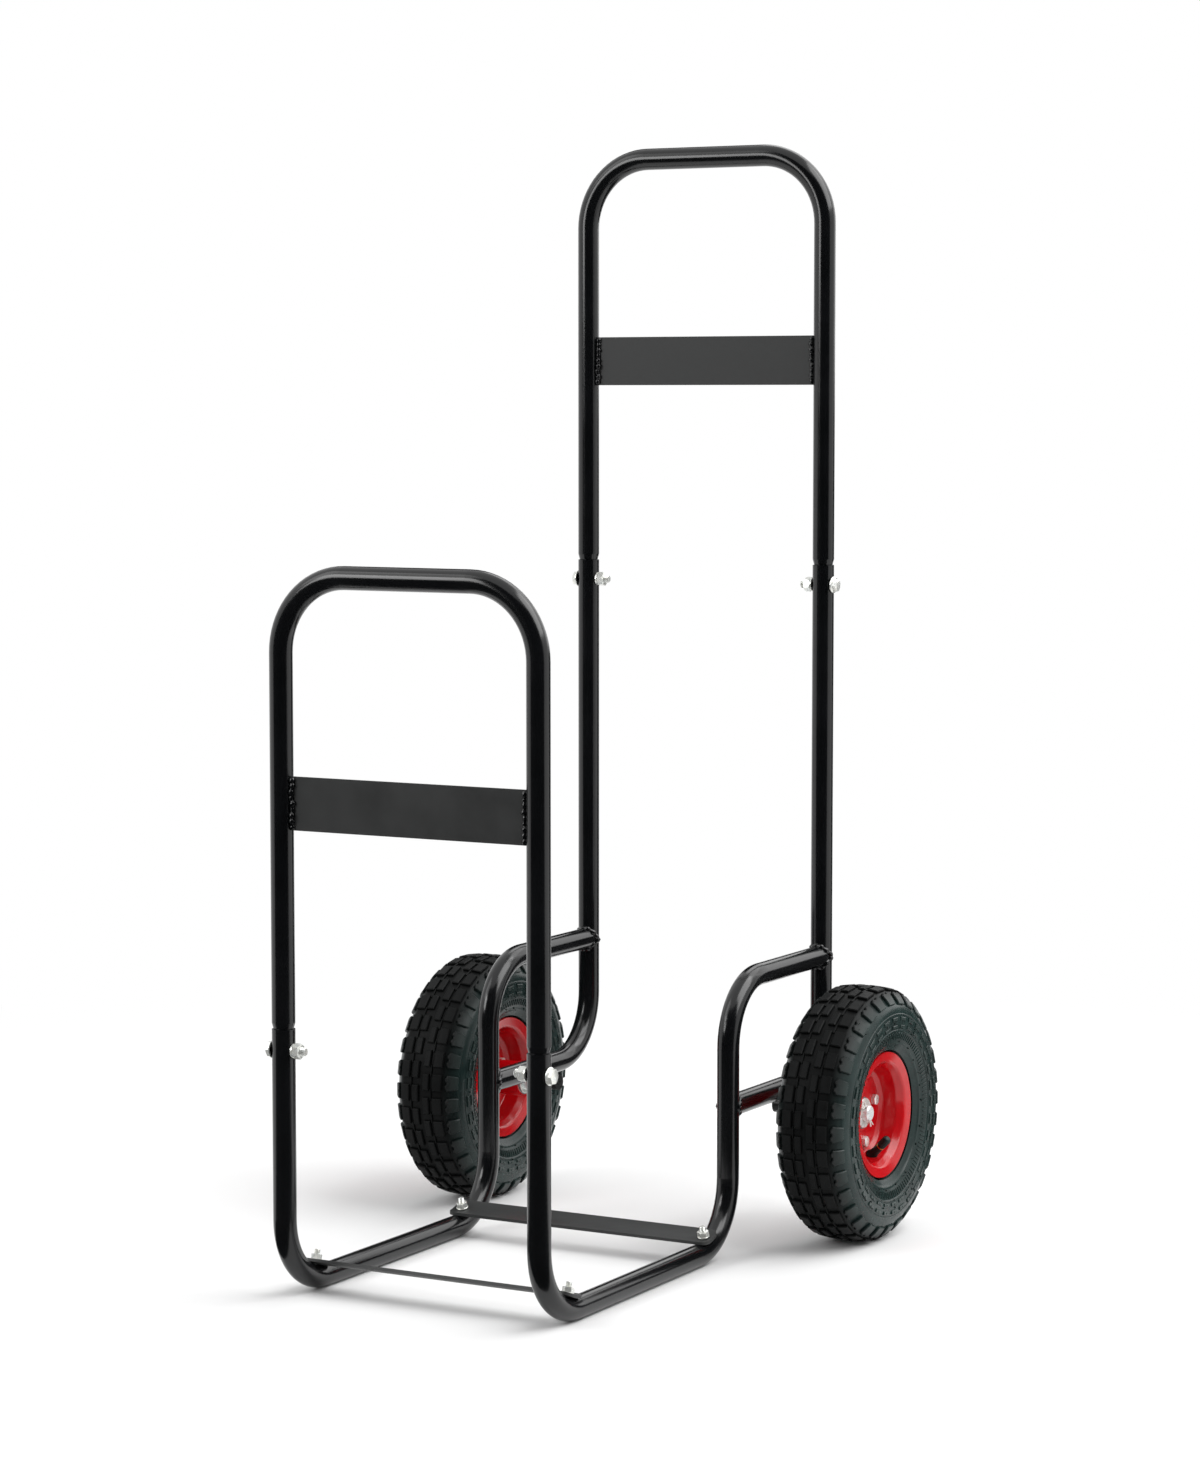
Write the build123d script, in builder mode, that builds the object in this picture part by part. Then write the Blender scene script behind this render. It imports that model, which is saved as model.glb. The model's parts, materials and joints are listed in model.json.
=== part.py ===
"""Firewood log rack on two wheels: bent-tube frame, flat bars, cross slats and air-filled wheels.

Millimetres. X runs across the rack, Y from the front hoop back to the handle, Z up.
The origin is on the floor, under the middle of the rack's box.
"""

import os
from math import cos, degrees, radians, sin, sqrt

from build123d import *

# Frame tube
tube_dia = 22.0
tube_wall = 1.5
rail_bend = 66.0
hoop_bend = 70.0

# Frame layout, between tube centrelines; depths are measured back from the front hoop,
# and the rear uprights stand axle_setback behind the axle
hoop_width = 274.0
riser_depth = 373.0
axle_depth = 500.0
axle_setback = 83.0
shelf_height = 270.0
front_joint_height = 257.0
rear_joint_height = 672.0
front_hoop_height = 678.0
rear_hoop_height = 1088.0

# Swaged plug joints between hoops and lower tubes
plug_length = 50.0
plug_taper = 6.0
joint_bolt_drop = 20.0

# Flat bars across the hoops
bar_width = 50.0
bar_thick = 3.0
front_bar_height = 468.5
rear_bar_height = 880.0

# Curved slats across the side rails, seated inside the rails' lower bends
slat_thick = 3.0
slat_spread = 30.0
slat_overhang = 10.0
slat_corner = 8.0

# Fasteners: thread, across flats, nut height and washer sizes
joint_thread = 8.0
joint_flats = 13.0
joint_head = 5.3
joint_flange = 17.0
joint_flange_thick = 1.5
joint_nut = 6.5
joint_washer_dia = 14.0
joint_washer_thick = 2.0
slat_thread = 6.0
slat_flats = 10.0
slat_nut = 5.0
slat_washer_dia = 12.0
slat_washer_thick = 1.2
thread_show = 5.0
hole_play = 0.2

# Wheels
axle_dia = 16.0
wheel_offset = 219.0
tyre_dia = 256.0
tyre_width = 82.0
crown_drop = 2.0
shoulder_width = 15.0
shoulder_drop = 20.0
sidewall_rise = 21.0
casing_wall = 5.0
tread_depth = 3.6
tread_pitches = 32
tread_gap = 7.5
centre_groove = 5.2
inner_row_width = 7.4
row_groove = 3.6
outer_row_width = 11.0
lug_groove = 4.0
lug_edge = 3.5
gap_rise = 0.5
bead_toe = 13.0
bead_rise = 7.0
section_round = 12.0
cavity_round = 8.0
bead_round = 1.0
tube_skin = 2.0
tube_vent = 3.0
rim_dia = 126.0
rim_width = 58.0
rim_thick = 2.0
rim_round = 4.0
rim_disc_dia = 84.0
rim_barrel_dia = 94.0
rim_barrel_taper = 2.5
rim_corner = 4.0
flange_flare = 7.0
flange_rise = 4.0
flange_lip = 2.0
hub_dia = 36.0
hub_wall = 2.0
hub_inner_reach = 52.0
hub_outer_reach = 5.0
bearing_width = 10.0
bearing_stop = 3.0
race_wall = 2.0
shield_depth = 0.6
bolt_circle = 64.0
rim_bolt_count = 4
rim_bolt_angle = 15.0
rim_thread = 6.0
rim_flats = 10.0
rim_head = 4.0
rim_nut = 5.0
rim_thread_show = 3.0
valve_dia = 9.0
valve_offset = 8.0
valve_root = 4.0
valve_length = 16.0
valve_neck_dia = 6.0
valve_neck_length = 8.0
valve_neck_show = 1.0
valve_cap_length = 13.0
valve_cap_round = 2.0
valve_angle = -74.0
valve_lean = 45.0

# Axle hardware
spacer_wall = 3.0
axle_washer_dia = 30.0
axle_washer_thick = 2.0
axle_chamfer = 1.2
pin_dia = 3.6
pin_length = 30.0
pin_eye_dia = 9.0
pin_angle = -50.0
pin_setback = 4.5

# Clearances: welded or pressed faces, running fits and faces that pass each other
weld_gap = 0.05
run_gap = 0.05
side_gap = 0.3
seat_gap = 0.3

# Worked-out sizes
tube_r = tube_dia / 2
tube_bore_r = tube_r - tube_wall
base_depth = axle_depth + axle_setback
axle_height = tyre_dia / 2
strut_height = axle_height + axle_dia / 2 + tube_r + weld_gap
rear_reach = max(base_depth + tube_r, axle_depth + tyre_dia / 2)
front_y = -(rear_reach - tube_r) / 2
rear_y = front_y + base_depth
riser_y = front_y + riser_depth
axle_y = front_y + axle_depth
half_width = hoop_width / 2
sides = (("left", -1), ("right", 1))
wheel_axis = Axis((0, axle_y, axle_height), (1, 0, 0))

os.makedirs("parts", exist_ok=True)


def write(node, label):
    node.part.label = label
    export_step(node.part, f"parts/{label}.step")


def side_plane(x):
    """A plane across X whose local x runs back and whose local y runs up."""
    return Plane(origin=(x, 0, 0), x_dir=(0, 1, 0), z_dir=(1, 0, 0))


def wheel_plane(sign):
    """A plane through the wheel's axis; local x runs outwards and local y runs up."""
    origin = (sign * wheel_offset, axle_y, axle_height)
    return Plane(origin=origin, x_dir=(sign, 0, 0), z_dir=(0, -sign, 0))


def axle_plane(sign, x):
    """A plane across the axle at a distance from mid-width, facing outwards."""
    origin = (sign * x, axle_y, axle_height)
    return Plane(origin=origin, x_dir=(0, 1, 0), z_dir=(sign, 0, 0))


# Hoops and their flat bars
hoops = (
    ("front", front_y, front_joint_height, front_hoop_height, front_bar_height),
    ("rear", rear_y, rear_joint_height, rear_hoop_height, rear_bar_height),
)
plug_r = tube_bore_r - weld_gap
plug_bore_r = plug_r - tube_wall
bolt_bore_r = joint_thread / 2 + hole_play

for name, y, joint, top, bar_height in hoops:
    with BuildPart() as hoop:
        shoulder = joint + plug_taper
        with BuildLine() as path:
            FilletPolyline(
                (-half_width, y, shoulder),
                (-half_width, y, top),
                (half_width, y, top),
                (half_width, y, shoulder),
                radius=hoop_bend,
            )
        with BuildSketch(Plane(origin=path.line @ 0, z_dir=path.line % 0)):
            Circle(tube_r)
            Circle(tube_bore_r, mode=Mode.SUBTRACT)
        sweep()
        for sign in (-1, 1):
            with BuildSketch(Plane(origin=(sign * half_width, y, 0), x_dir=(1, 0, 0), z_dir=(0, -1, 0))):
                with BuildLine():
                    Polyline(
                        (tube_bore_r, shoulder),
                        (tube_r, shoulder),
                        (plug_r, joint),
                        (plug_r, joint - plug_length),
                        (plug_bore_r, joint - plug_length),
                        (plug_bore_r, joint),
                        close=True,
                    )
                make_face()
            revolve(axis=Axis((sign * half_width, y, 0), (0, 0, 1)))
        with Locations((0, y, joint - joint_bolt_drop)):
            Cylinder(bolt_bore_r, hoop_width + 2 * tube_dia, rotation=(0, 90, 0), mode=Mode.SUBTRACT)
    write(hoop, f"{name}_hoop")

    with BuildPart() as bar:
        with Locations((0, y, bar_height)):
            Box(hoop_width - tube_dia - 2 * weld_gap, bar_thick, bar_width)
    write(bar, f"{name}_hoop_bar")


# Side rails and rear legs
for name, sign in sides:
    x = sign * half_width

    with BuildPart() as rail:
        with BuildLine(side_plane(x)) as path:
            FilletPolyline(
                (front_y, front_joint_height),
                (front_y, tube_r),
                (riser_y, tube_r),
                (riser_y, shelf_height),
                (rear_y, shelf_height),
                radius=rail_bend,
            )
        with BuildSketch(Plane(origin=path.line @ 0, z_dir=path.line % 0)):
            Circle(tube_r)
            Circle(tube_bore_r, mode=Mode.SUBTRACT)
        sweep()
        with Locations((x, rear_y, shelf_height)):
            Cylinder(tube_r + weld_gap, 2 * tube_dia, mode=Mode.SUBTRACT)
        with Locations((x, front_y, front_joint_height - joint_bolt_drop)):
            Cylinder(bolt_bore_r, 2 * tube_dia, rotation=(0, 90, 0), mode=Mode.SUBTRACT)
    write(rail, f"{name}_side_rail")

    with BuildPart() as leg:
        with BuildLine(side_plane(x)) as path:
            FilletPolyline(
                (rear_y, rear_joint_height),
                (rear_y, strut_height),
                (riser_y, strut_height),
                radius=rail_bend,
            )
        with BuildSketch(Plane(origin=path.line @ 0, z_dir=path.line % 0)):
            Circle(tube_r)
            Circle(tube_bore_r, mode=Mode.SUBTRACT)
        sweep()
        with Locations((x, riser_y, strut_height)):
            Cylinder(tube_r + weld_gap, 2 * tube_dia, mode=Mode.SUBTRACT)
        with Locations((x, rear_y, rear_joint_height - joint_bolt_drop)):
            Cylinder(bolt_bore_r, 2 * tube_dia, rotation=(0, 90, 0), mode=Mode.SUBTRACT)
    write(leg, f"{name}_rear_leg")


# Bolts, spring washers and nuts of the plug joints; heads outside, nuts inside
head_x = half_width + tube_r + weld_gap
washer_x = half_width - tube_r - weld_gap
nut_x = washer_x - joint_washer_thick
bolt_length = head_x - nut_x + joint_nut + thread_show


def joint_planes(x, facing):
    """Planes across the four joint bolts at a distance from mid-width; facing 1 looks outwards."""
    planes = []
    for _, y, joint, _, _ in hoops:
        for _, sign in sides:
            origin = (sign * x, y, joint - joint_bolt_drop)
            planes.append(Plane(origin=origin, x_dir=(0, 1, 0), z_dir=(sign * facing, 0, 0)))
    return planes


with BuildPart() as hoop_bolts:
    with BuildSketch(*joint_planes(head_x, 1)):
        Circle(joint_flange / 2)
    extrude(amount=joint_flange_thick)
    with BuildSketch(*joint_planes(head_x, 1)):
        RegularPolygon(joint_flats / 2, 6, major_radius=False)
    extrude(amount=joint_head)
    with BuildSketch(*joint_planes(head_x, -1)):
        Circle(joint_thread / 2)
    extrude(amount=bolt_length)
write(hoop_bolts, "hoop_bolts")

with BuildPart() as hoop_washers:
    with BuildSketch(*joint_planes(washer_x, -1)):
        Circle(joint_washer_dia / 2)
        Circle(joint_thread / 2 + hole_play, mode=Mode.SUBTRACT)
    extrude(amount=joint_washer_thick)
write(hoop_washers, "hoop_spring_washers")

with BuildPart() as hoop_nuts:
    with BuildSketch(*joint_planes(nut_x, -1)):
        RegularPolygon(joint_flats / 2, 6, major_radius=False)
        Circle(joint_thread / 2 + run_gap, mode=Mode.SUBTRACT)
    extrude(amount=joint_nut)
write(hoop_nuts, "hoop_nuts")


# Cross slats: curved strips seated on the inside of the rails' front and rear lower bends
slat_back_r = rail_bend - tube_r - weld_gap
slat_face_r = slat_back_r - slat_thick
slat_half = degrees(slat_spread / 2 / slat_back_r)
bend_height = tube_r + rail_bend
slat_reach = half_width + slat_overhang
slats = (
    ("front", front_y + rail_bend, -1),
    ("rear", riser_y - rail_bend, 1),
)


def slat_point(centre_y, facing, r, angle):
    """A point at a radius and an angle up from straight below a bend's centre."""
    return centre_y + facing * r * sin(radians(angle)), bend_height - r * cos(radians(angle))


def stud_planes(r, facing_in):
    """Planes across the four slat studs at a radius from the bend's centre."""
    planes = []
    for _, centre_y, facing in slats:
        y, z = slat_point(centre_y, facing, r, slat_half)
        inward = (0, (centre_y - y) * facing_in, (bend_height - z) * facing_in)
        for _, sign in sides:
            origin = (sign * half_width, y, z)
            planes.append(Plane(origin=origin, x_dir=(1, 0, 0), z_dir=inward))
    return planes


stud_seat_r = slat_back_r - weld_gap
washer_sag = slat_face_r - sqrt(slat_face_r**2 - (slat_washer_dia / 2) ** 2)
slat_washer_r = slat_face_r - washer_sag - weld_gap
slat_nut_r = slat_washer_r - slat_washer_thick
stud_length = stud_seat_r - slat_nut_r + slat_nut + thread_show

for name, centre_y, facing in slats:
    with BuildPart() as slat:
        with BuildSketch(side_plane(0)):
            with BuildLine():
                back_start = slat_point(centre_y, facing, slat_back_r, 0)
                back_mid = slat_point(centre_y, facing, slat_back_r, slat_half)
                back_end = slat_point(centre_y, facing, slat_back_r, 2 * slat_half)
                face_start = slat_point(centre_y, facing, slat_face_r, 0)
                face_mid = slat_point(centre_y, facing, slat_face_r, slat_half)
                face_end = slat_point(centre_y, facing, slat_face_r, 2 * slat_half)
                ThreePointArc(back_start, back_mid, back_end)
                Line(back_end, face_end)
                ThreePointArc(face_end, face_mid, face_start)
                Line(face_start, back_start)
            make_face()
        extrude(amount=slat_reach, both=True)
        corners = slat.edges().filter_by(lambda e: abs(e.length - slat_thick) < run_gap)
        fillet(corners, radius=slat_corner)
        with BuildSketch(*stud_planes(stud_seat_r + tube_r, 1)):
            Circle(slat_thread / 2 + hole_play)
        extrude(amount=tube_dia, mode=Mode.SUBTRACT)
    write(slat, f"{name}_cross_slat")

with BuildPart() as slat_studs:
    with BuildSketch(*stud_planes(stud_seat_r, 1)):
        Circle(slat_thread / 2)
    extrude(amount=stud_length)
write(slat_studs, "slat_studs")

with BuildPart() as slat_washers:
    with BuildSketch(*stud_planes(slat_washer_r, 1)):
        Circle(slat_washer_dia / 2)
        Circle(slat_thread / 2 + hole_play, mode=Mode.SUBTRACT)
    extrude(amount=slat_washer_thick)
write(slat_washers, "slat_washers")

with BuildPart() as slat_nuts:
    with BuildSketch(*stud_planes(slat_nut_r, 1)):
        RegularPolygon(slat_flats / 2, 6, major_radius=False)
        Circle(slat_thread / 2 + run_gap, mode=Mode.SUBTRACT)
    extrude(amount=slat_nut)
write(slat_nuts, "slat_nuts")


# Stub axles under the struts, with spacers, washers and split pins
hub_inner_x = wheel_offset - hub_inner_reach
hub_outer_x = wheel_offset + hub_outer_reach
inner_washer_x = hub_inner_x - side_gap - axle_washer_thick
outer_washer_x = hub_outer_x + side_gap
pin_x = outer_washer_x + axle_washer_thick + run_gap + pin_dia / 2
axle_inner_x = half_width - tube_r
axle_outer_x = pin_x + pin_setback
spacer_x = half_width + tube_r + side_gap
axle_bore_r = axle_dia / 2 + hole_play
pin_way = Vector(0, cos(radians(pin_angle)), sin(radians(pin_angle)))

for name, sign in sides:
    with BuildPart() as axle:
        with BuildSketch(axle_plane(sign, axle_inner_x)):
            Circle(axle_dia / 2)
        extrude(amount=axle_outer_x - axle_inner_x)
        chamfer(axle.faces().sort_by(Axis.X)[-1 if sign > 0 else 0].edges(), length=axle_chamfer)
        pin_start = Vector(sign * pin_x, axle_y, axle_height) - pin_way * axle_dia
        with BuildSketch(Plane(origin=pin_start, z_dir=pin_way)):
            Circle(pin_dia / 2 + hole_play)
        extrude(amount=2 * axle_dia, mode=Mode.SUBTRACT)
    write(axle, f"{name}_stub_axle")

with BuildPart() as spacers:
    with BuildSketch(*[axle_plane(sign, spacer_x) for _, sign in sides]):
        Circle(axle_bore_r + spacer_wall)
        Circle(axle_bore_r, mode=Mode.SUBTRACT)
    extrude(amount=inner_washer_x - run_gap - spacer_x)
write(spacers, "axle_spacers")

with BuildPart() as axle_washers:
    for x in (inner_washer_x, outer_washer_x):
        with BuildSketch(*[axle_plane(sign, x) for _, sign in sides]):
            Circle(axle_washer_dia / 2)
            Circle(axle_bore_r, mode=Mode.SUBTRACT)
        extrude(amount=axle_washer_thick)
write(axle_washers, "axle_washers")

with BuildPart() as split_pins:
    pin_head = axle_dia / 2 + pin_eye_dia / 2
    for _, sign in sides:
        centre = Vector(sign * pin_x, axle_y, axle_height)
        with BuildSketch(Plane(origin=centre - pin_way * (axle_dia / 2 + pin_dia / 2), z_dir=pin_way)):
            Circle(pin_dia / 2)
        extrude(amount=pin_length)
        eye = Plane(origin=centre - pin_way * pin_head, x_dir=pin_way, z_dir=(sign, 0, 0))
        with Locations(eye):
            Torus(pin_eye_dia / 2 - pin_dia / 4, pin_dia / 4)
write(split_pins, "split_pins")


# Wheels
crown_r = tyre_dia / 2
clear_r = crown_r + tread_depth
cavity_r = crown_r - tread_depth - casing_wall
half_section = tyre_width / 2
shoulder_s = half_section - shoulder_width
rim_half = rim_width / 2
rim_r = rim_dia / 2
barrel_r = rim_barrel_dia / 2
disc_r = rim_disc_dia / 2
hub_r = hub_dia / 2
bearing_r = hub_r - hub_wall - run_gap
disc_s = rim_thick / 2
flange_s = rim_half - rim_thick / 2 - flange_lip


def rim_points():
    """Middle line of a rim half, from hub to flange lip: disc, barrel and flared flange."""
    return (
        (disc_s, hub_r + weld_gap),
        (disc_s, disc_r),
        (disc_s + rim_corner, barrel_r),
        (flange_s - flange_flare, barrel_r + rim_barrel_taper),
        (flange_s, barrel_r + rim_barrel_taper + flange_rise),
        (flange_s + flange_lip, rim_r),
    )


def seat_r(s):
    """Radius of the rim barrel's outer face at a distance from the mid-plane."""
    (s0, r0), (s1, r1) = rim_points()[2:4]
    slope = (r1 - r0) / (s1 - s0)
    return r0 + (s - s0) * slope + rim_thick / 2 * sqrt(1 + slope**2)


def tyre_section():
    """Outer line of half the tyre's section, from the crown to the toe of the bead."""
    lip_s, lip_r = rim_points()[-1]
    root_s, root_r = rim_points()[-2]
    seat_s = rim_points()[-3][0]
    inset = rim_thick / 2 + seat_gap
    return (
        (0, crown_r),
        (crown_flat, crown_r),
        (shoulder_s, crown_r - crown_drop),
        (half_section, crown_r - shoulder_drop),
        (half_section, rim_r + sidewall_rise),
        (lip_s + inset, lip_r + 2 * inset),
        (lip_s - inset, lip_r + seat_gap),
        (root_s - 1.5 * inset, root_r + inset),
        (seat_s, seat_r(seat_s) + 1.5 * seat_gap),
        (bead_toe, seat_r(bead_toe) + seat_gap),
    )


def cavity_section():
    """Inner line of half the tyre's section, from the toe of the bead to the crown."""
    return (
        (bead_toe, seat_r(bead_toe) + bead_rise),
        (rim_half - casing_wall, rim_r + casing_wall),
        (half_section - casing_wall, rim_r + sidewall_rise),
        (half_section - casing_wall, crown_r - shoulder_drop),
        (shoulder_s - casing_wall, crown_r - crown_drop - tread_depth - casing_wall),
        (0, cavity_r),
    )


def base_r(s):
    """Radius of the grooves' floor at a distance from the mid-plane; it runs out at the lugs' edge."""
    floor_r = crown_r - tread_depth
    if s < crown_flat:
        return floor_r
    if s < shoulder_s:
        return floor_r - crown_drop * (s - crown_flat) / (shoulder_s - crown_flat)
    run_out = half_section - lug_edge - shoulder_s
    fall = (shoulder_drop - crown_drop) * run_out / shoulder_width - tread_depth
    return floor_r - crown_drop - fall * (s - shoulder_s) / run_out


def groove_section(start, end):
    """Section of a groove round the tyre, open at the crown."""
    return ((start, base_r(start)), (end, base_r(end)), (end, clear_r), (start, clear_r))


def bolt_planes(sign, s, facing):
    """Planes across the rim bolts at a distance from the wheel's mid-plane; facing 1 looks outwards."""
    planes = []
    for k in range(rim_bolt_count):
        angle = radians(rim_bolt_angle + 360 / rim_bolt_count * k)
        y = axle_y + bolt_circle / 2 * cos(angle)
        z = axle_height + bolt_circle / 2 * sin(angle)
        origin = (sign * (wheel_offset + s), y, z)
        planes.append(Plane(origin=origin, x_dir=(0, 1, 0), z_dir=(sign * facing, 0, 0)))
    return planes


def valve_plane(sign, along):
    """A plane across the valve stem at a distance out from the rim barrel, facing the cap."""
    out = Vector(0, cos(radians(valve_angle)), sin(radians(valve_angle)))
    axial = Vector(sign, 0, 0)
    way = axial * sin(radians(valve_lean)) - out * cos(radians(valve_lean))
    hub = Vector(sign * (wheel_offset + valve_offset), axle_y, axle_height)
    return Plane(origin=hub + out * (seat_r(valve_offset) - rim_thick / 2) + way * along, z_dir=way)


hub_bore_r = hub_r - hub_wall
bolt_reach = 2 * rim_thick + rim_nut + rim_thread_show

# Tread: grooves round the tyre and gaps across each half, those of one half against the other's blocks
inner_row = centre_groove / 2
crown_flat = inner_row + inner_row_width
outer_row = crown_flat + row_groove
lug_row = outer_row + outer_row_width + lug_groove
tread_grooves = (
    groove_section(0, inner_row),
    groove_section(crown_flat, outer_row),
    groove_section(lug_row - lug_groove, lug_row),
)
tread_pitch = 360 / tread_pitches
gap_angle = degrees(tread_gap / crown_r)
gap_line = [(base_r(s) + gap_rise, s) for s in (inner_row / 2, crown_flat, shoulder_s, half_section)]
gap_plane = Plane(origin=(0, 0, 0), x_dir=(1, 0, 0), z_dir=(0, -1, 0))

with BuildPart() as tread_cut:
    with BuildSketch(gap_plane.rotated((0, -gap_angle / 2, 0))):
        with BuildLine():
            Polyline(*gap_line, (clear_r, half_section), (clear_r, inner_row / 2), close=True)
        make_face()
    revolve(axis=Axis.Z, revolution_arc=gap_angle)

for name, sign in sides:
    plane = wheel_plane(sign)
    mid_plane = Plane(origin=plane.origin, x_dir=(0, 1, 0), z_dir=(1, 0, 0))

    with BuildPart() as tyre:
        with BuildSketch(plane):
            with BuildLine():
                outer = tyre_section()
                inner = cavity_section()
                Polyline(*outer[:3])
                FilletPolyline(*outer[2:], radius=[section_round] * 2 + [bead_round] * 4)
                Line(outer[-1], inner[0])
                FilletPolyline(*inner, radius=cavity_round)
                Line(inner[-1], outer[0])
            make_face()
            for groove in tread_grooves:
                with BuildLine():
                    Polyline(*groove, close=True)
                make_face(mode=Mode.SUBTRACT)
        revolve(axis=wheel_axis)
        mirror(about=mid_plane)
        with Locations(mid_plane):
            with PolarLocations(0, tread_pitches):
                add(tread_cut.part, mode=Mode.SUBTRACT)
            with PolarLocations(0, tread_pitches, start_angle=tread_pitch / 2):
                add(mirror(tread_cut.part, about=Plane.XY, mode=Mode.PRIVATE), mode=Mode.SUBTRACT)
    write(tyre, f"{name}_tyre")

    with BuildPart() as inner_tube:
        foot = seat_r(bead_toe) + bead_rise
        with BuildSketch(plane):
            with BuildLine():
                FilletPolyline((0, foot), *cavity_section()[1:], radius=cavity_round)
                Line((0, cavity_r), (0, foot))
            make_face()
            mirror(about=Plane.YZ)
            offset(amount=-seat_gap, mode=Mode.REPLACE)
            offset(amount=-tube_skin, mode=Mode.SUBTRACT)
        revolve(axis=wheel_axis)
        vent_way = Vector(0, cos(radians(valve_angle)), sin(radians(valve_angle)))
        with BuildSketch(Plane(origin=plane.origin, z_dir=vent_way)):
            Circle(tube_vent / 2)
        extrude(amount=foot + tube_skin + 2 * seat_gap, mode=Mode.SUBTRACT)
    write(inner_tube, f"{name}_inner_tube")

    for half, way in (("outer", 1), ("inner", -1)):
        with BuildPart() as rim:
            with BuildSketch(plane):
                with BuildLine():
                    FilletPolyline(*[(way * s, r) for s, r in rim_points()], radius=rim_round)
                trace(line_width=rim_thick)
            revolve(axis=wheel_axis)
            with BuildSketch(*bolt_planes(sign, -2 * rim_thick, 1)):
                Circle(rim_thread / 2 + hole_play)
            extrude(amount=4 * rim_thick, mode=Mode.SUBTRACT)
            if half == "outer":
                with BuildSketch(valve_plane(sign, -2 * valve_root)):
                    Circle(valve_dia / 2 + hole_play)
                extrude(amount=4 * valve_root, mode=Mode.SUBTRACT)
        write(rim, f"{name}_{half}_rim_half")

    with BuildPart() as hub:
        with BuildSketch(plane):
            with Locations(((hub_outer_reach - hub_inner_reach) / 2, 0)):
                hub_length = hub_inner_reach + hub_outer_reach
                Rectangle(hub_length, hub_r, align=(Align.CENTER, Align.MIN))
                Rectangle(hub_length, hub_bore_r, align=(Align.CENTER, Align.MIN), mode=Mode.SUBTRACT)
                core_length = hub_length - 2 * bearing_width
                Rectangle(core_length, hub_bore_r, align=(Align.CENTER, Align.MIN))
                core_bore = hub_bore_r - bearing_stop
                Rectangle(core_length, core_bore, align=(Align.CENTER, Align.MIN), mode=Mode.SUBTRACT)
        revolve(axis=wheel_axis)
    write(hub, f"{name}_hub_sleeve")

    with BuildPart() as bearings:
        for s in (bearing_width / 2 - hub_inner_reach, hub_outer_reach - bearing_width / 2):
            with BuildSketch(plane):
                bore_r = axle_dia / 2 + run_gap
                with Locations((s, (bearing_r + bore_r) / 2)):
                    Rectangle(bearing_width, bearing_r - bore_r)
                    Rectangle(bearing_width, bearing_r - bore_r - 2 * race_wall, mode=Mode.SUBTRACT)
                    Rectangle(bearing_width - 2 * shield_depth, bearing_r - bore_r)
            revolve(axis=wheel_axis)
    write(bearings, f"{name}_wheel_bearings")

    with BuildPart() as rim_bolts:
        with BuildSketch(*bolt_planes(sign, rim_thick, 1)):
            RegularPolygon(rim_flats / 2, 6, major_radius=False)
        extrude(amount=rim_head)
        with BuildSketch(*bolt_planes(sign, rim_thick, -1)):
            Circle(rim_thread / 2)
        extrude(amount=bolt_reach)
    write(rim_bolts, f"{name}_rim_bolts")

    with BuildPart() as rim_nuts:
        with BuildSketch(*bolt_planes(sign, -rim_thick, -1)):
            RegularPolygon(rim_flats / 2, 6, major_radius=False)
            Circle(rim_thread / 2 + run_gap, mode=Mode.SUBTRACT)
        extrude(amount=rim_nut)
    write(rim_nuts, f"{name}_rim_nuts")

    with BuildPart() as valve_stem:
        with BuildSketch(valve_plane(sign, -valve_root)):
            Circle(valve_dia / 2)
        extrude(amount=valve_root + valve_length)
        with BuildSketch(valve_plane(sign, valve_length)):
            Circle(valve_neck_dia / 2)
        extrude(amount=valve_neck_length)
    write(valve_stem, f"{name}_valve_stem")

    with BuildPart() as valve_cap:
        with BuildSketch(valve_plane(sign, valve_length + valve_neck_show)):
            Circle(valve_dia / 2)
        extrude(amount=valve_cap_length)
        rings = valve_cap.edges().filter_by(GeomType.CIRCLE)
        fillet(rings.sort_by_distance(plane.origin)[-1], valve_cap_round)
        with BuildSketch(valve_plane(sign, valve_length + valve_neck_show)):
            Circle(valve_neck_dia / 2 + run_gap)
        extrude(amount=valve_neck_length, mode=Mode.SUBTRACT)
    write(valve_cap, f"{name}_valve_cap")
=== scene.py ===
# Firewood log rack on two wheels: finishes, tyres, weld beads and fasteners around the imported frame
import json
import math
import random

import bpy
from mathutils import Matrix, Vector


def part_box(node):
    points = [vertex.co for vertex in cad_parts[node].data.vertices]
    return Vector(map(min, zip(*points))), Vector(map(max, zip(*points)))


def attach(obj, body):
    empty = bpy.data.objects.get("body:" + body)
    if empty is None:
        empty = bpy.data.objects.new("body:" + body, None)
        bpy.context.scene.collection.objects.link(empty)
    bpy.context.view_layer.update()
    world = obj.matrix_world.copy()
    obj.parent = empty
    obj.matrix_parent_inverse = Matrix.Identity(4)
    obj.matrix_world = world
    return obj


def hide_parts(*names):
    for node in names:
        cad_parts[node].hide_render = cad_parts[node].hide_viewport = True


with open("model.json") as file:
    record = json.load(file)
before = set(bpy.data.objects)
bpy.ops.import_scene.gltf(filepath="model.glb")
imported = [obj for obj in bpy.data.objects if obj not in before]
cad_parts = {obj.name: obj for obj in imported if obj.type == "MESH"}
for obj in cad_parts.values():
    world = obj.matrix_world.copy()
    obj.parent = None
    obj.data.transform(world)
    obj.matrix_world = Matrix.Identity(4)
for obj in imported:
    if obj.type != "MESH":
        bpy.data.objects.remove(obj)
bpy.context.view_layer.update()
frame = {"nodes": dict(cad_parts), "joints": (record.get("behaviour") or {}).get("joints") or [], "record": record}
mm = 0.001
mergeGap = 0.005 * mm  # corners nearer than this become one
print("frame loaded with", len(frame["nodes"]), "nodes")


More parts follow.
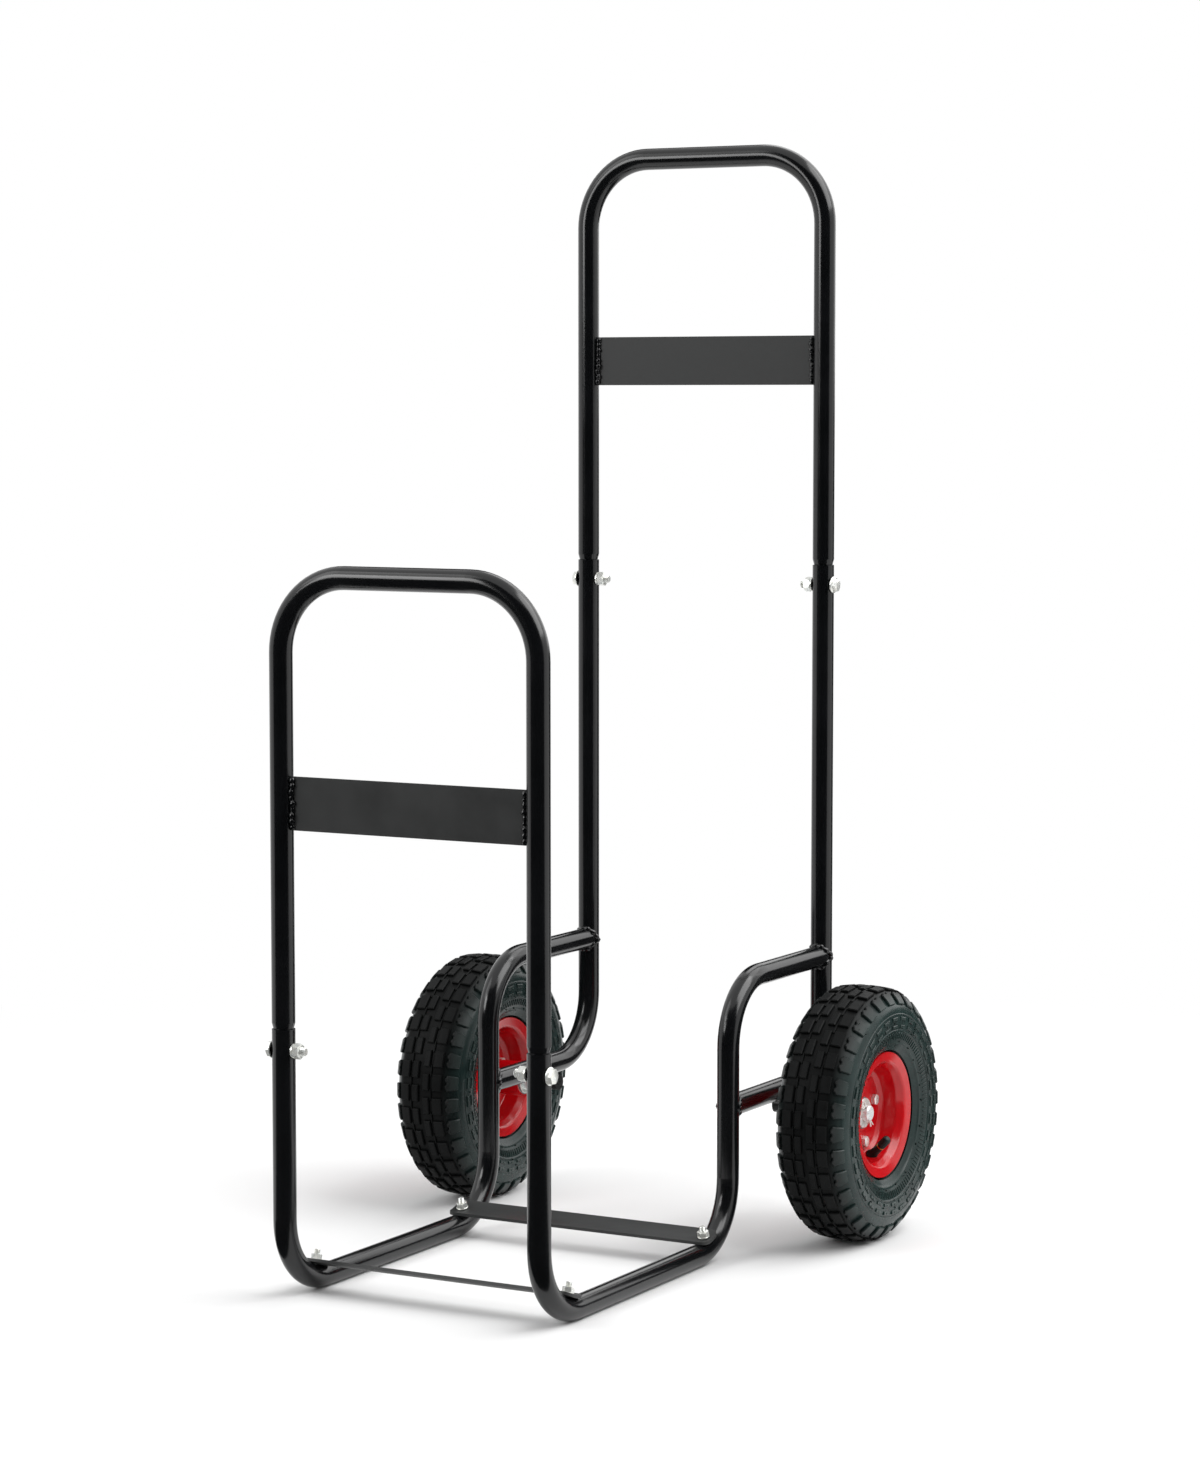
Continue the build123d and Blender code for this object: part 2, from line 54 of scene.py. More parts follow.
# Camera, at the photograph's viewing angle
cameraSetup = {
    "place": (1.8096, -3.2147, 0.8410),  # metres from the rack's origin
    "turn": 28.987,  # degrees to the left of straight ahead
    "dip": 5.046,  # degrees below level
    "lens": 92.99,  # mm
    "sensor": 36.0,  # mm along the picture's long side
}
bpy.ops.object.select_all(action="DESELECT")
lookDown = math.radians(90 - cameraSetup["dip"])
lookLeft = math.radians(cameraSetup["turn"])
bpy.ops.object.camera_add(location=cameraSetup["place"], rotation=(lookDown, 0, lookLeft))
camera = bpy.context.active_object
camera.data.lens = cameraSetup["lens"]
camera.data.sensor_width = cameraSetup["sensor"]
bpy.context.scene.camera = camera
bpy.context.scene.view_settings.view_transform = "Standard"
print("camera set")


# Measures taken from the frame
def middle(node):
    low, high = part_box(node)
    return (low + high) / 2


hoopLow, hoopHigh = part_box("front_hoop")
tubeRadius = (hoopHigh.y - hoopLow.y) / 2
sideX = hoopHigh.x - tubeRadius  # centreline of the right-hand tubes
frontY = middle("front_hoop").y
rearY = middle("rear_hoop").y
axlePlaces = {}
for joint in frame["joints"]:
    axlePlaces[joint["child"]] = Vector(joint["pos_m"])
wheels = {"right": 1, "left": -1}


# Small helpers for modelling
def activate(piece):
    bpy.ops.object.select_all(action="DESELECT")
    piece.select_set(True)
    bpy.context.view_layer.objects.active = piece


def openMesh(piece):
    activate(piece)
    bpy.ops.object.mode_set(mode="EDIT")
    bpy.ops.mesh.select_all(action="SELECT")


def closeMesh():
    bpy.ops.mesh.select_all(action="SELECT")
    bpy.ops.mesh.remove_doubles(threshold=mergeGap)
    bpy.ops.mesh.delete_loose(use_verts=True, use_edges=True, use_faces=False)
    bpy.ops.mesh.normals_make_consistent(inside=False)
    bpy.ops.object.mode_set(mode="OBJECT")


def startOutline(name, points, filled=False):
    # a circle is added and its corners are moved to the outline
    bpy.ops.object.select_all(action="DESELECT")
    fill = "NGON" if filled else "NOTHING"
    bpy.ops.mesh.primitive_circle_add(vertices=len(points), radius=mm, fill_type=fill)
    piece = bpy.context.active_object
    piece.name = name
    for vertex, point in zip(piece.data.vertices, points):
        vertex.co = Vector(point) * mm
    return piece


def turned(name, outline, steps=48):
    # outline of (along, radius) in mm, spun about local Z
    piece = startOutline(name, [(radius, 0, along) for along, radius in outline])
    openMesh(piece)
    bpy.ops.mesh.spin(steps=steps, angle=2 * math.pi, center=(0, 0, 0), axis=(0, 0, 1))
    closeMesh()
    return piece


def applyAll(piece):
    activate(piece)
    for modifier in list(piece.modifiers):
        bpy.ops.object.modifier_apply(modifier=modifier.name)


def cut(piece, cutter, operation):
    modifier = piece.modifiers.new("cut", "BOOLEAN")
    modifier.operation = operation
    modifier.solver = "EXACT"
    modifier.object = cutter
    applyAll(piece)
    bpy.data.objects.remove(cutter)


def placed(piece, origin, direction, spin=0.0):
    turn = Vector(direction).to_track_quat("Z", "Y").to_matrix().to_4x4()
    piece.matrix_world = Matrix.Translation(origin) @ turn @ Matrix.Rotation(spin, 4, "Z")
    activate(piece)
    bpy.ops.object.transform_apply(location=True, rotation=True, scale=True)
    return piece


def copied(piece, name):
    twin = piece.copy()
    twin.data = piece.data.copy()
    twin.name = name
    bpy.context.scene.collection.objects.link(twin)
    return twin


def joined(parts, name):
    activate(parts[0])
    for part in parts[1:]:
        part.select_set(True)
    if len(parts) > 1:
        bpy.ops.object.join()
    parts[0].name = name
    return parts[0]


def smoothed(piece, angle):
    activate(piece)
    bpy.ops.object.shade_smooth_by_angle(angle=math.radians(angle))


def bead(name, points, radii, ring=False, sides=2):
    # a round bead along points in metres, with its own radius in mm at each point
    bpy.ops.object.select_all(action="DESELECT")
    bpy.ops.curve.primitive_bezier_curve_add()
    line = bpy.context.active_object
    line.name = name
    line.data.splines.clear()
    spline = line.data.splines.new("POLY")
    spline.points.add(len(points) - 1)
    for point, place, radius in zip(spline.points, points, radii):
        point.co = (*place, 1)
        point.radius = radius
    spline.use_cyclic_u = ring
    line.data.bevel_depth = mm
    line.data.bevel_resolution = sides
    line.data.use_fill_caps = not ring
    bpy.ops.object.convert(target="MESH")
    openMesh(line)
    closeMesh()
    return line


def finished(piece, body, slot, material, *replaced):
    piece.data.materials.clear()
    piece.data.materials.append(material)
    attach(piece, body)
    if replaced:
        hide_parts(*replaced)


# Small helpers for materials
def linear(hexCode):
    channels = []
    for start in (0, 2, 4):
        value = int(hexCode[start:start + 2], 16) / 255
        channels.append(value / 12.92 if value <= 0.04045 else ((value + 0.055) / 1.055) ** 2.4)
    return (*channels, 1)


def addNode(material, kind, settings, inputs):
    node = material.node_tree.nodes.new(kind)
    for name, value in settings.items():
        setattr(node, name, value)
    for name, value in inputs.items():
        if isinstance(value, bpy.types.NodeSocket):
            material.node_tree.links.new(value, node.inputs[name])
        else:
            node.inputs[name].default_value = value
    return node


def startMaterial(name, settings):
    material = bpy.data.materials.new(name)
    material.use_nodes = True
    shader = material.node_tree.nodes["Principled BSDF"]
    for socket, value in settings.items():
        shader.inputs[socket].default_value = value
    place = addNode(material, "ShaderNodeTexCoord", {}, {}).outputs["Object"]
    return material, shader, place


def perMetre(sizeMm):
    return 1 / (sizeMm * mm)


def blotches(material, place, sizeMm, detail, low, high, colours):
    # cloudy change between two colours; low and high say how sharp the edge is
    cloud = addNode(material, "ShaderNodeTexNoise", {}, {
        "Vector": place, "Scale": perMetre(sizeMm), "Detail": detail, "Roughness": 0.55})
    share = addNode(material, "ShaderNodeMapRange", {}, {
        "Value": cloud.outputs["Fac"], "From Min": low, "From Max": high})
    mix = addNode(material, "ShaderNodeMix", {"data_type": "RGBA"}, {
        0: share.outputs["Result"], 6: linear(colours[0]), 7: linear(colours[1])})
    return mix.outputs[2], share.outputs["Result"]


def grainBump(material, shader, place, sizeMm, depthMm, strength):
    grain = addNode(material, "ShaderNodeTexNoise", {}, {
        "Vector": place, "Scale": perMetre(sizeMm), "Detail": 3.0, "Roughness": 0.5})
    bump = addNode(material, "ShaderNodeBump", {}, {
        "Height": grain.outputs["Fac"], "Distance": depthMm * mm, "Strength": strength})
    material.node_tree.links.new(bump.outputs["Normal"], shader.inputs["Normal"])


# Plain finishes: two colours in soft clouds, a roughness that follows the clouds, and a grain, which
# on metal and rubber is drawn at 1 mm or more, coarser than the real one, to show
looks = {  # clouds: mm, detail, where the change starts and ends; grain: mm, mm deep, strength
    # black powder coat baked on steel tube: smooth and semi-gloss, with a soft orange peel that breaks
    # up the long highlights; the peel is drawn at 4 mm, coarser than the real 1.5 mm, to show
    "powderCoatOnTube": {
        "shader": {"Specular IOR Level": 0.5},
        "clouds": (70, 4, 0.3, 0.7), "colours": ("08090a", "0d0e10"),
        "rough": (0.15, 0.21), "grain": (4, 0.03, 0.12),
    },
    # the same powder on flat bar and slat: a thinner, satin layer that reads as charcoal
    "powderCoatOnFlat": {
        "shader": {"Specular IOR Level": 0.4},
        "clouds": (45, 5, 0.3, 0.7), "colours": ("242525", "2d2e2e"),
        "rough": (0.42, 0.52), "grain": (3, 0.04, 0.4),
    },
    # bright zinc plate on turned and pressed steel: pale, ivory and slightly cloudy, and milky enough
    # to stay light where it faces something dark
    "zincPlate": {
        "shader": {"Metallic": 0.58},
        "clouds": (5, 3, 0.35, 0.65), "colours": ("efefe8", "dadddb"),
        "rough": (0.18, 0.3), "grain": (1.5, 0.02, 0.3),
    },
    # ground bearing steel with pressed shields: plain grey metal
    "groundSteel": {
        "shader": {"Metallic": 1.0},
        "clouds": (3, 3, 0.35, 0.65), "colours": ("a9adb0", "8f9396"),
        "rough": (0.2, 0.32), "grain": (1, 0.01, 0.3),
    },
    # red stoving enamel sprayed on pressed steel: deep gloss over a slightly uneven coat
    "redEnamel": {
        "shader": {"Specular IOR Level": 0.38, "Coat Weight": 0.15, "Coat Roughness": 0.08},
        "clouds": (30, 3, 0.3, 0.7), "colours": ("c00b14", "ae0710"),
        "rough": (0.16, 0.24), "grain": (5, 0.03, 0.3),
    },
    # moulded rubber and plastic of the valve: smoother and blacker than the tyre
    "valveRubber": {
        "shader": {"Specular IOR Level": 0.25},
        "clouds": (6, 3, 0.3, 0.7), "colours": ("0a1513", "12211f"),
        "rough": (0.32, 0.42), "grain": (1.2, 0.03, 0.3),
    },
    # butyl of the inner tube: dusty black
    "butylRubber": {
        "shader": {"Specular IOR Level": 0.5},
        "clouds": (15, 4, 0.3, 0.7), "colours": ("1a1a1a", "2b2b2b"),
        "rough": (0.55, 0.7), "grain": (2, 0.05, 0.3),
    },
    # turned brass of the valve's neck: a warm, bright line
    "turnedBrass": {
        "shader": {"Metallic": 1.0},
        "clouds": (2, 3, 0.3, 0.7), "colours": ("c9a24c", "b28a38"),
        "rough": (0.25, 0.38), "grain": (1, 0.02, 0.3),
    },
}


def plainFinish(name):
    look = looks[name]
    material, shader, place = startMaterial(name, look["shader"])
    colour, share = blotches(material, place, *look["clouds"], look["colours"])
    smooth, rough = look["rough"]
    gloss = addNode(material, "ShaderNodeMapRange", {}, {
        "Value": share, "To Min": smooth, "To Max": rough})
    material.node_tree.links.new(colour, shader.inputs["Base Color"])
    material.node_tree.links.new(gloss.outputs["Result"], shader.inputs["Roughness"])
    grainBump(material, shader, place, *look["grain"])
    return material


# Drawn steel rod with fine drawing marks: bright inside the wheel, and under the frame's black
# powder coat from the strut inwards, where it was welded on before the frame was coated
rodLook = {
    "coatTo": 151.5, "bareFrom": 152.5,  # mm from the middle of the rack
    "coat": "0a0b0c", "steel": ("eef3f3", "dde4e4"), "metal": 0.45, "rough": (0.25, 0.4),
    "stretch": (0.05, 1, 1),  # draws the marks out along the rod
}


def drawnRod():
    material, shader, place = startMaterial("drawnRod", {"Specular IOR Level": 0.3})
    stretched = addNode(material, "ShaderNodeMapping", {}, {
        "Vector": place, "Scale": rodLook["stretch"]}).outputs["Vector"]
    colour, share = blotches(material, stretched, 2, 3, 0.35, 0.65, rodLook["steel"])
    smooth, rough = rodLook["rough"]
    gloss = addNode(material, "ShaderNodeMapRange", {}, {
        "Value": share, "To Min": smooth, "To Max": rough})
    across = addNode(material, "ShaderNodeSeparateXYZ", {}, {"Vector": place})
    fromMiddle = addNode(material, "ShaderNodeMath", {"operation": "ABSOLUTE"}, {
        0: across.outputs["X"]})
    bare = addNode(material, "ShaderNodeMapRange", {}, {
        "Value": fromMiddle.outputs["Value"],
        "From Min": rodLook["coatTo"] * mm, "From Max": rodLook["bareFrom"] * mm}).outputs["Result"]
    mix = addNode(material, "ShaderNodeMix", {"data_type": "RGBA"}, {
        0: bare, 6: linear(rodLook["coat"]), 7: colour})
    metal = addNode(material, "ShaderNodeMath", {"operation": "MULTIPLY"}, {
        0: bare, 1: rodLook["metal"]})
    material.node_tree.links.new(mix.outputs[2], shader.inputs["Base Color"])
    material.node_tree.links.new(gloss.outputs["Result"], shader.inputs["Roughness"])
    material.node_tree.links.new(metal.outputs["Value"], shader.inputs["Metallic"])
    grainBump(material, shader, stretched, 1, 0.02, 0.3)
    return material


# Moulded tyre rubber: blackest in the grooves and on the walls of the blocks, as painted shade; grey on the tops
# of the blocks, partly scuff and partly painted highlight; and a bloom with a green cast on the smoother sidewall,
# whose raised marks are greyer on top in the same way
tyreLook = {
    "treadTo": 123.5, "wallFrom": 110.0,  # mm from the axle, where the tread gives way to the wall
    # the black is painted shade in the grooves and on the blocks' walls; the greys on the tops of the blocks and
    # of the sidewall's raised marks are partly scuff and partly painted highlight
    "groove": "0c0d0d", "scuffedAndLitGrey": ("1e1f1f", "2b2c2c"),
    "bloom": ("162221", "223230"), "raised": "2e3937",
    "sheen": (0.08, 0.26),  # on the tread and on the wall
    "rough": (0.4, 0.52), "wallSmoother": 0.2,
}


def tyreRubber(axlePlace):
    material, shader, place = startMaterial("tyreRubber", {})
    centred = addNode(material, "ShaderNodeMapping", {"vector_type": "POINT"}, {
        "Vector": place, "Location": (0, -axlePlace.y, -axlePlace.z)})
    flat = addNode(material, "ShaderNodeVectorMath", {"operation": "MULTIPLY"}, {
        0: centred.outputs["Vector"], 1: (0, 1, 1)})
    reach = addNode(material, "ShaderNodeVectorMath", {"operation": "LENGTH"}, {
        0: flat.outputs["Vector"]})
    wall = addNode(material, "ShaderNodeMapRange", {}, {
        "Value": reach.outputs["Value"],
        "From Min": tyreLook["treadTo"] * mm, "From Max": tyreLook["wallFrom"] * mm}).outputs["Result"]
    # 1 on the tops of the blocks and raised marks, which take the greys (partly scuff, partly painted highlight);
    # 0 elsewhere, left in the painted shade of the grooves
    litAndScuffedTops = addNode(material, "ShaderNodeAttribute", {"attribute_name": "scuffAndShade"}, {}).outputs["Fac"]
    scuffedAndLitGrey, share = blotches(material, place, 12, 5, 0.3, 0.7, tyreLook["scuffedAndLitGrey"])
    tread = addNode(material, "ShaderNodeMix", {"data_type": "RGBA"}, {
        0: litAndScuffedTops, 6: linear(tyreLook["groove"]), 7: scuffedAndLitGrey})
    bloom = blotches(material, place, 22, 5, 0.25, 0.75, tyreLook["bloom"])[0]
    raised = addNode(material, "ShaderNodeMix", {"data_type": "RGBA"}, {
        0: litAndScuffedTops, 6: bloom, 7: linear(tyreLook["raised"])})
    mix = addNode(material, "ShaderNodeMix", {"data_type": "RGBA"}, {
        0: wall, 6: tread.outputs[2], 7: raised.outputs[2]})
    matt, glossy = tyreLook["sheen"]
    sheen = addNode(material, "ShaderNodeMapRange", {}, {
        "Value": wall, "To Min": matt, "To Max": glossy})
    smooth, rough = tyreLook["rough"]
    uneven = addNode(material, "ShaderNodeMapRange", {}, {
        "Value": share, "To Min": smooth, "To Max": rough})
    gloss = addNode(material, "ShaderNodeMath", {"operation": "MULTIPLY_ADD"}, {
        0: wall, 1: -tyreLook["wallSmoother"], 2: uneven.outputs["Result"]})
    material.node_tree.links.new(mix.outputs[2], shader.inputs["Base Color"])
    material.node_tree.links.new(sheen.outputs["Result"], shader.inputs["Specular IOR Level"])
    material.node_tree.links.new(gloss.outputs["Value"], shader.inputs["Roughness"])
    grainBump(material, shader, place, 1.6, 0.08, 0.35)
    return material


tubeCoat = plainFinish("powderCoatOnTube")
zinc = plainFinish("zincPlate")
valveBlack = plainFinish("valveRubber")
brass = plainFinish("turnedBrass")
tyreBlack = tyreRubber(axlePlaces["right_wheel"])
finishes = {  # by the slot that each node names
    "black_tube": tubeCoat,
    "black_flat_steel": plainFinish("powderCoatOnFlat"),
    "zinc_plate": zinc,
    "axle_steel": drawnRod(),
    "bearing_steel": plainFinish("groundSteel"),
    "red_enamel": plainFinish("redEnamel"),
    "tyre_rubber": tyreBlack,
    "butyl_rubber": plainFinish("butylRubber"),
    "valve_rubber": valveBlack,
}
for subpart in frame["record"]["subparts"]:
    node = frame["nodes"][subpart["node"]]
    if not node.material_slots:
        node.data.materials.append(None)
    for materialSlot in node.material_slots:
        materialSlot.material = finishes[subpart["material_slot"]]


# Tyres: casing with ribs, six rows of tread blocks, sidewall plates, pips and ridges
tyre = {  # mm; runs are measured along the section from the mid-plane
    "section": [  # across from the mid-plane and out from the axle, crown to rim lip
        (0, 128), (10, 127.9), (18, 127.1), (25.5, 125.4), (32, 119.4), (36.5, 113.2), (38.8, 106),
        (39.4, 97), (38.9, 87.5), (36.6, 78.5), (32.5, 70), (29.6, 65.2)],
    "curveSteps": 12,  # between two of those points
    "roundSteps": 160,
    "casingStep": 2.0, "casingEnd": 0.3, "liningEvery": 5,
    "wall": 5.0,
    "treadDepth": 2.8,
    "depths": ((40.0, 2.8), (45.5, 1.7), (50.0, 1.1), (56.0, 0.5), (60.0, 0.0)),  # run, groove depth
    "pitches": 32,
    "blockLength": 17.5,
    "blockChamfer": 0.9,
    "blockRoot": 1.0,  # below the floor of the grooves
    "blockCuts": 4.0,  # apart, so that a block can follow the section
    "innerRow": (2.6, 10.0),
    "outerRow": (13.6, 24.6),
    "lugRow": (28.6, 44.0),
    "lugNotch": 1.8,
    "lugEdge": ((1.3, 1.0), (0.7, 0.72), (0.0, 0.62), (0.0, 0.3), (1.0, 0.12)),  # notches, half lengths
    "lugTaper": 0.85,
    "tieClear": 1.0, "tieSink": 2.0, "tieTop": -1.2, "tieChamfer": 0.3,
    # the grey on the block tops is partly scuff and partly painted highlight, a little of it on the crown and all
    # of it on the lugs
    "scuffAndHighlight": 0.15,  # of the crown blocks, against 1 on the lugs
    "ribs": ((54.5, 0.5, 0.9), (71.0, 0.7, 1.2), (84.5, 0.4, 1.5)),  # run, height, half width
    "plates": ((57.0, 60.5), (65.0, 68.0)),
    "plateTop": 1.0, "plateRoot": -1.0,
    "pipTop": 1.5, "pipRoot": -0.5, "pipSides": 6,
    "ridges": (73.0, 79.5),
    "ridgeCount": 120, "ridgeHalf": 0.9, "ridgeTop": 0.8, "ridgeRoot": -0.8,
    "trimChamfer": 0.4,
    "crease": 32,  # degrees, above which an edge stays sharp
}


def sectionLine():
    # a smooth curve through the points, from one rim lip over the crown to the other
    half = tyre["section"]
    points = [Vector((-s, r)) for s, r in reversed(half[1:])] + [Vector(point) for point in half]
    line = []
    for k in range(1, len(points) - 2):
        for step in range(tyre["curveSteps"]):
            t = step / tyre["curveSteps"]
            a, b, c, d = points[k - 1:k + 3]
            line.append(0.5 * (2 * b + (c - a) * t + (2 * a - 5 * b + 4 * c - d) * t * t
                               + (3 * b - a - 3 * c + d) * t ** 3))
    return [points[0]] + line + [points[-2], points[-1]]


tyreLine = sectionLine()
tyreRun = [0.0]
for here, there in zip(tyreLine, tyreLine[1:]):
    tyreRun.append(tyreRun[-1] + (there - here).length)
tyreReach = tyreRun[-1] / 2


def sectionAt(along, height):
    # point of the section at a run in mm from the crown, raised off the surface
    run = min(max(along + tyreReach, 0), tyreRun[-1] - 1e-6)
    k = max(i for i, value in enumerate(tyreRun) if value <= run)
    k = min(k, len(tyreLine) - 2)
    way = tyreLine[k + 1] - tyreLine[k]
    point = tyreLine[k] + way * ((run - tyreRun[k]) / way.length)
    outward = Vector((-way.y, way.x)).normalized()
    return point + outward * height


def grooveDepth(along):
    # depth of the casing under the tops of the blocks, running out on the sidewall
    stops = tyre["depths"]
    for (start, deep), (end, shallow) in zip(stops, stops[1:]):
        if abs(along) < start:
            return deep
        if abs(along) < end:
            return deep + (shallow - deep) * (abs(along) - start) / (end - start)
    return 0


def ribHeight(along):
    total = 0
    for place, height, half in tyre["ribs"]:
        total += height * max(0, 1 - (abs(abs(along) - place) / half) ** 2)
    return total


def casing(name):
    stops = set()
    count = int(tyreReach / tyre["casingStep"])
    for k in range(-count, count + 1):
        stops.add(tyre["casingStep"] * k)
    for place, _, half in tyre["ribs"]:
        for part in (-1, -0.5, 0, 0.5, 1):
            stops.add(place + half * part)
            stops.add(-place - half * part)
    last = tyreReach - tyre["casingEnd"]
    stops = [-tyreReach] + sorted(stop for stop in stops if abs(stop) < last) + [tyreReach]
    outline = [sectionAt(stop, ribHeight(stop) - grooveDepth(stop)) for stop in stops]
    lining = reversed(stops[::tyre["liningEvery"]])
    inside = [sectionAt(stop, -tyre["wall"] - tyre["treadDepth"]) for stop in lining]
    return turned(name, [tuple(point) for point in outline + inside], tyre["roundSteps"])


def onTyre(along, height, angle):
    s, r = sectionAt(along, height)
    return Vector((r * math.cos(angle), r * math.sin(angle), s)) * mm


def wrapped(piece):
    # flat piece, with x along the section and y round the tyre, laid onto the casing
    crown = tyre["section"][0][1]
    for vertex in piece.data.vertices:
        along, around, height = vertex.co / mm
        vertex.co = onTyre(along, height, around / crown)
    return piece


def block(name, corners, top, root, chamfer, scuffAndHighlight=1.0):
    # raised from its root to its top, chamfered round the top, and marked there for the rubber's grey, partly
    # scuff and partly painted highlight; its walls stay in the grooves' painted shade
    piece = startOutline(name, [(x, y, root) for x, y in corners], filled=True)
    reach = [x for x, _ in corners]
    openMesh(piece)
    step = tyre["blockCuts"]
    for k in range(1, math.ceil((max(reach) - min(reach)) / step)):
        bpy.ops.mesh.select_all(action="SELECT")
        bpy.ops.mesh.bisect(plane_co=((min(reach) + step * k) * mm, 0, 0), plane_no=(1, 0, 0))
    bpy.ops.mesh.select_all(action="SELECT")
    rise = (top - chamfer - root) * mm
    bpy.ops.mesh.extrude_region_move(TRANSFORM_OT_translate={"value": (0, 0, rise)})
    bpy.ops.mesh.inset(thickness=chamfer * mm, use_even_offset=True)
    bpy.ops.transform.translate(value=(0, 0, chamfer * mm))
    closeMesh()
    # the mark carries painted light as well as scuff: lighter tops, with painted shade on the walls and root
    scuffAndShade = piece.data.attributes.new("scuffAndShade", "FLOAT", "POINT")  # read by the rubber's material
    for vertex, mark in zip(piece.data.vertices, scuffAndShade.data):
        mark.value = scuffAndHighlight if vertex.co.z > (top - 0.5 * chamfer) * mm else 0.0
    return piece


def rectangle(low, high, start, end):
    return [(low, start), (high, start), (high, end), (low, end)]


def lugOutline(half):
    # notched on the edge that faces the crown, and a little narrower at the other end
    low, high = tyre["lugRow"]
    edge = [(low + inset * tyre["lugNotch"], share * half) for inset, share in tyre["lugEdge"]]
    narrow = tyre["lugTaper"] * half
    return [(high, -narrow), (high, narrow)] + edge + [(x, -y) for x, y in reversed(edge)]


def treadPitch(side):
    # one pitch of one half of the tread; the two halves are staggered
    pitch = 2 * math.pi * tyre["section"][0][1] / tyre["pitches"]
    half = tyre["blockLength"] / 2
    root = -tyre["treadDepth"] - tyre["blockRoot"]
    chamfer = tyre["blockChamfer"]
    trim = tyre["trimChamfer"]
    narrow = tyre["lugTaper"] * half
    inner = rectangle(*tyre["innerRow"], -half, half)
    outer = rectangle(*tyre["outerRow"], -half, half)
    tie = rectangle(
        tyre["innerRow"][1] + tyre["tieClear"], tyre["outerRow"][0] - tyre["tieClear"],
        half - tyre["tieSink"], pitch - half + tyre["tieSink"])
    # the tie bars, sunk between the blocks, get no grey top and stay in the grooves' painted shade
    pieces = [
        block("innerBlock", inner, 0, root, chamfer, tyre["scuffAndHighlight"]),
        block("outerBlock", outer, 0, root, chamfer, tyre["scuffAndHighlight"]),
        block("shoulderLug", lugOutline(half), 0, root, chamfer),
        block("tieBar", tie, tyre["tieTop"], root, tyre["tieChamfer"], 0),
    ]
    for low, high in tyre["plates"]:
        plate = rectangle(low, high, -narrow, narrow)
        pieces.append(block("sidePlate", plate, tyre["plateTop"], tyre["plateRoot"], trim))
        turns = [2 * math.pi * k / tyre["pipSides"] for k in range(tyre["pipSides"])]
        pip = [((low + high) / 2 + math.cos(turn), math.sin(turn)) for turn in turns]
        pieces.append(block("ventPip", pip, tyre["pipTop"], tyre["pipRoot"], trim))
    for piece in pieces:
        for vertex in piece.data.vertices:
            vertex.co.y += (0 if side > 0 else pitch / 2) * mm
            vertex.co.x *= side
        wrapped(piece)
    return joined(pieces, "treadPitch")


def roundTheTyre(piece, count):
    openMesh(piece)
    sweep = 2 * math.pi * (count - 1) / count
    bpy.ops.mesh.spin(steps=count - 1, dupli=True, angle=sweep, center=(0, 0, 0), axis=(0, 0, 1))
    closeMesh()
    return piece


def makeTyre():
    parts = [casing("casing")]
    for side in (1, -1):
        parts.append(roundTheTyre(treadPitch(side), tyre["pitches"]))
        outline = rectangle(*tyre["ridges"], -tyre["ridgeHalf"], tyre["ridgeHalf"])
        ridge = block("sideRidge", outline, tyre["ridgeTop"], tyre["ridgeRoot"], tyre["trimChamfer"])
        for vertex in ridge.data.vertices:
            vertex.co.x *= side
        parts.append(roundTheTyre(wrapped(ridge), tyre["ridgeCount"]))
    piece = joined(parts, "rightTyre")
    openMesh(piece)
    bpy.ops.mesh.normals_make_consistent(inside=False)
    bpy.ops.object.mode_set(mode="OBJECT")
    smoothed(piece, tyre["crease"])
    return piece


# Vent hairs: what the vents of the mould leave on the tyre, some long and bent, some trimmed short
vents = {
    "seed": 7,
    "hairs": 16,
    "wallEvery": 3,  # every third hair stands on the sidewall, and the others at the lugs
    "lugRun": (30, 46), "lugSink": 1.5, "wallRun": (80, 83),  # mm
    "length": (2.0, 3.5),
    "radii": (0.35, 0.3, 0.2),
    "bend": 0.006,
    "stubs": ((62.7, 17), (70.2, 13), (82.5, 19)),  # mm along the section, count round the tyre
    "stubHeights": (-0.4, 0.5, 1.2), "stubRadius": (0.8, 1.2), "stubTip": 0.6,
    "stubStray": (0.3, 1.0),  # of a space round the tyre, and mm along the section
    "crease": 60,
}


def hair(draw, k):
    along = draw.choice((-1, 1)) * draw.uniform(*vents["lugRun"])
    sink = vents["lugSink"]
    if k % vents["wallEvery"] == 0:
        along = draw.choice((-1, 1)) * draw.uniform(*vents["wallRun"])
        sink = 0
    angle = math.radians(draw.uniform(0, 360))
    length = draw.uniform(*vents["length"])
    points = []
    for part in (-0.2, 0.5, 1):
        bend = vents["bend"] * part * part * draw.uniform(-1, 1)
        points.append(onTyre(along, length * part - sink, angle + bend))
    return bead("mouldHair", points, vents["radii"], sides=1)


def stub(draw, along, angle):
    points = [onTyre(along, height, angle) for height in vents["stubHeights"]]
    wide = draw.uniform(*vents["stubRadius"])
    return bead("ventStub", points, (wide, wide, vents["stubTip"] * wide), sides=1)


def makeVentHairs():
    draw = random.Random(vents["seed"])
    parts = [hair(draw, k) for k in range(vents["hairs"])]
    aside, astray = vents["stubStray"]
    for ring, count in vents["stubs"]:
        for side in (1, -1):
            for k in range(count):
                angle = 2 * math.pi * (k + draw.uniform(-aside, aside)) / count
                parts.append(stub(draw, side * (ring + draw.uniform(-astray, astray)), angle))
    piece = joined(parts, "rightVentHairs")
    smoothed(piece, vents["crease"])
    return piece


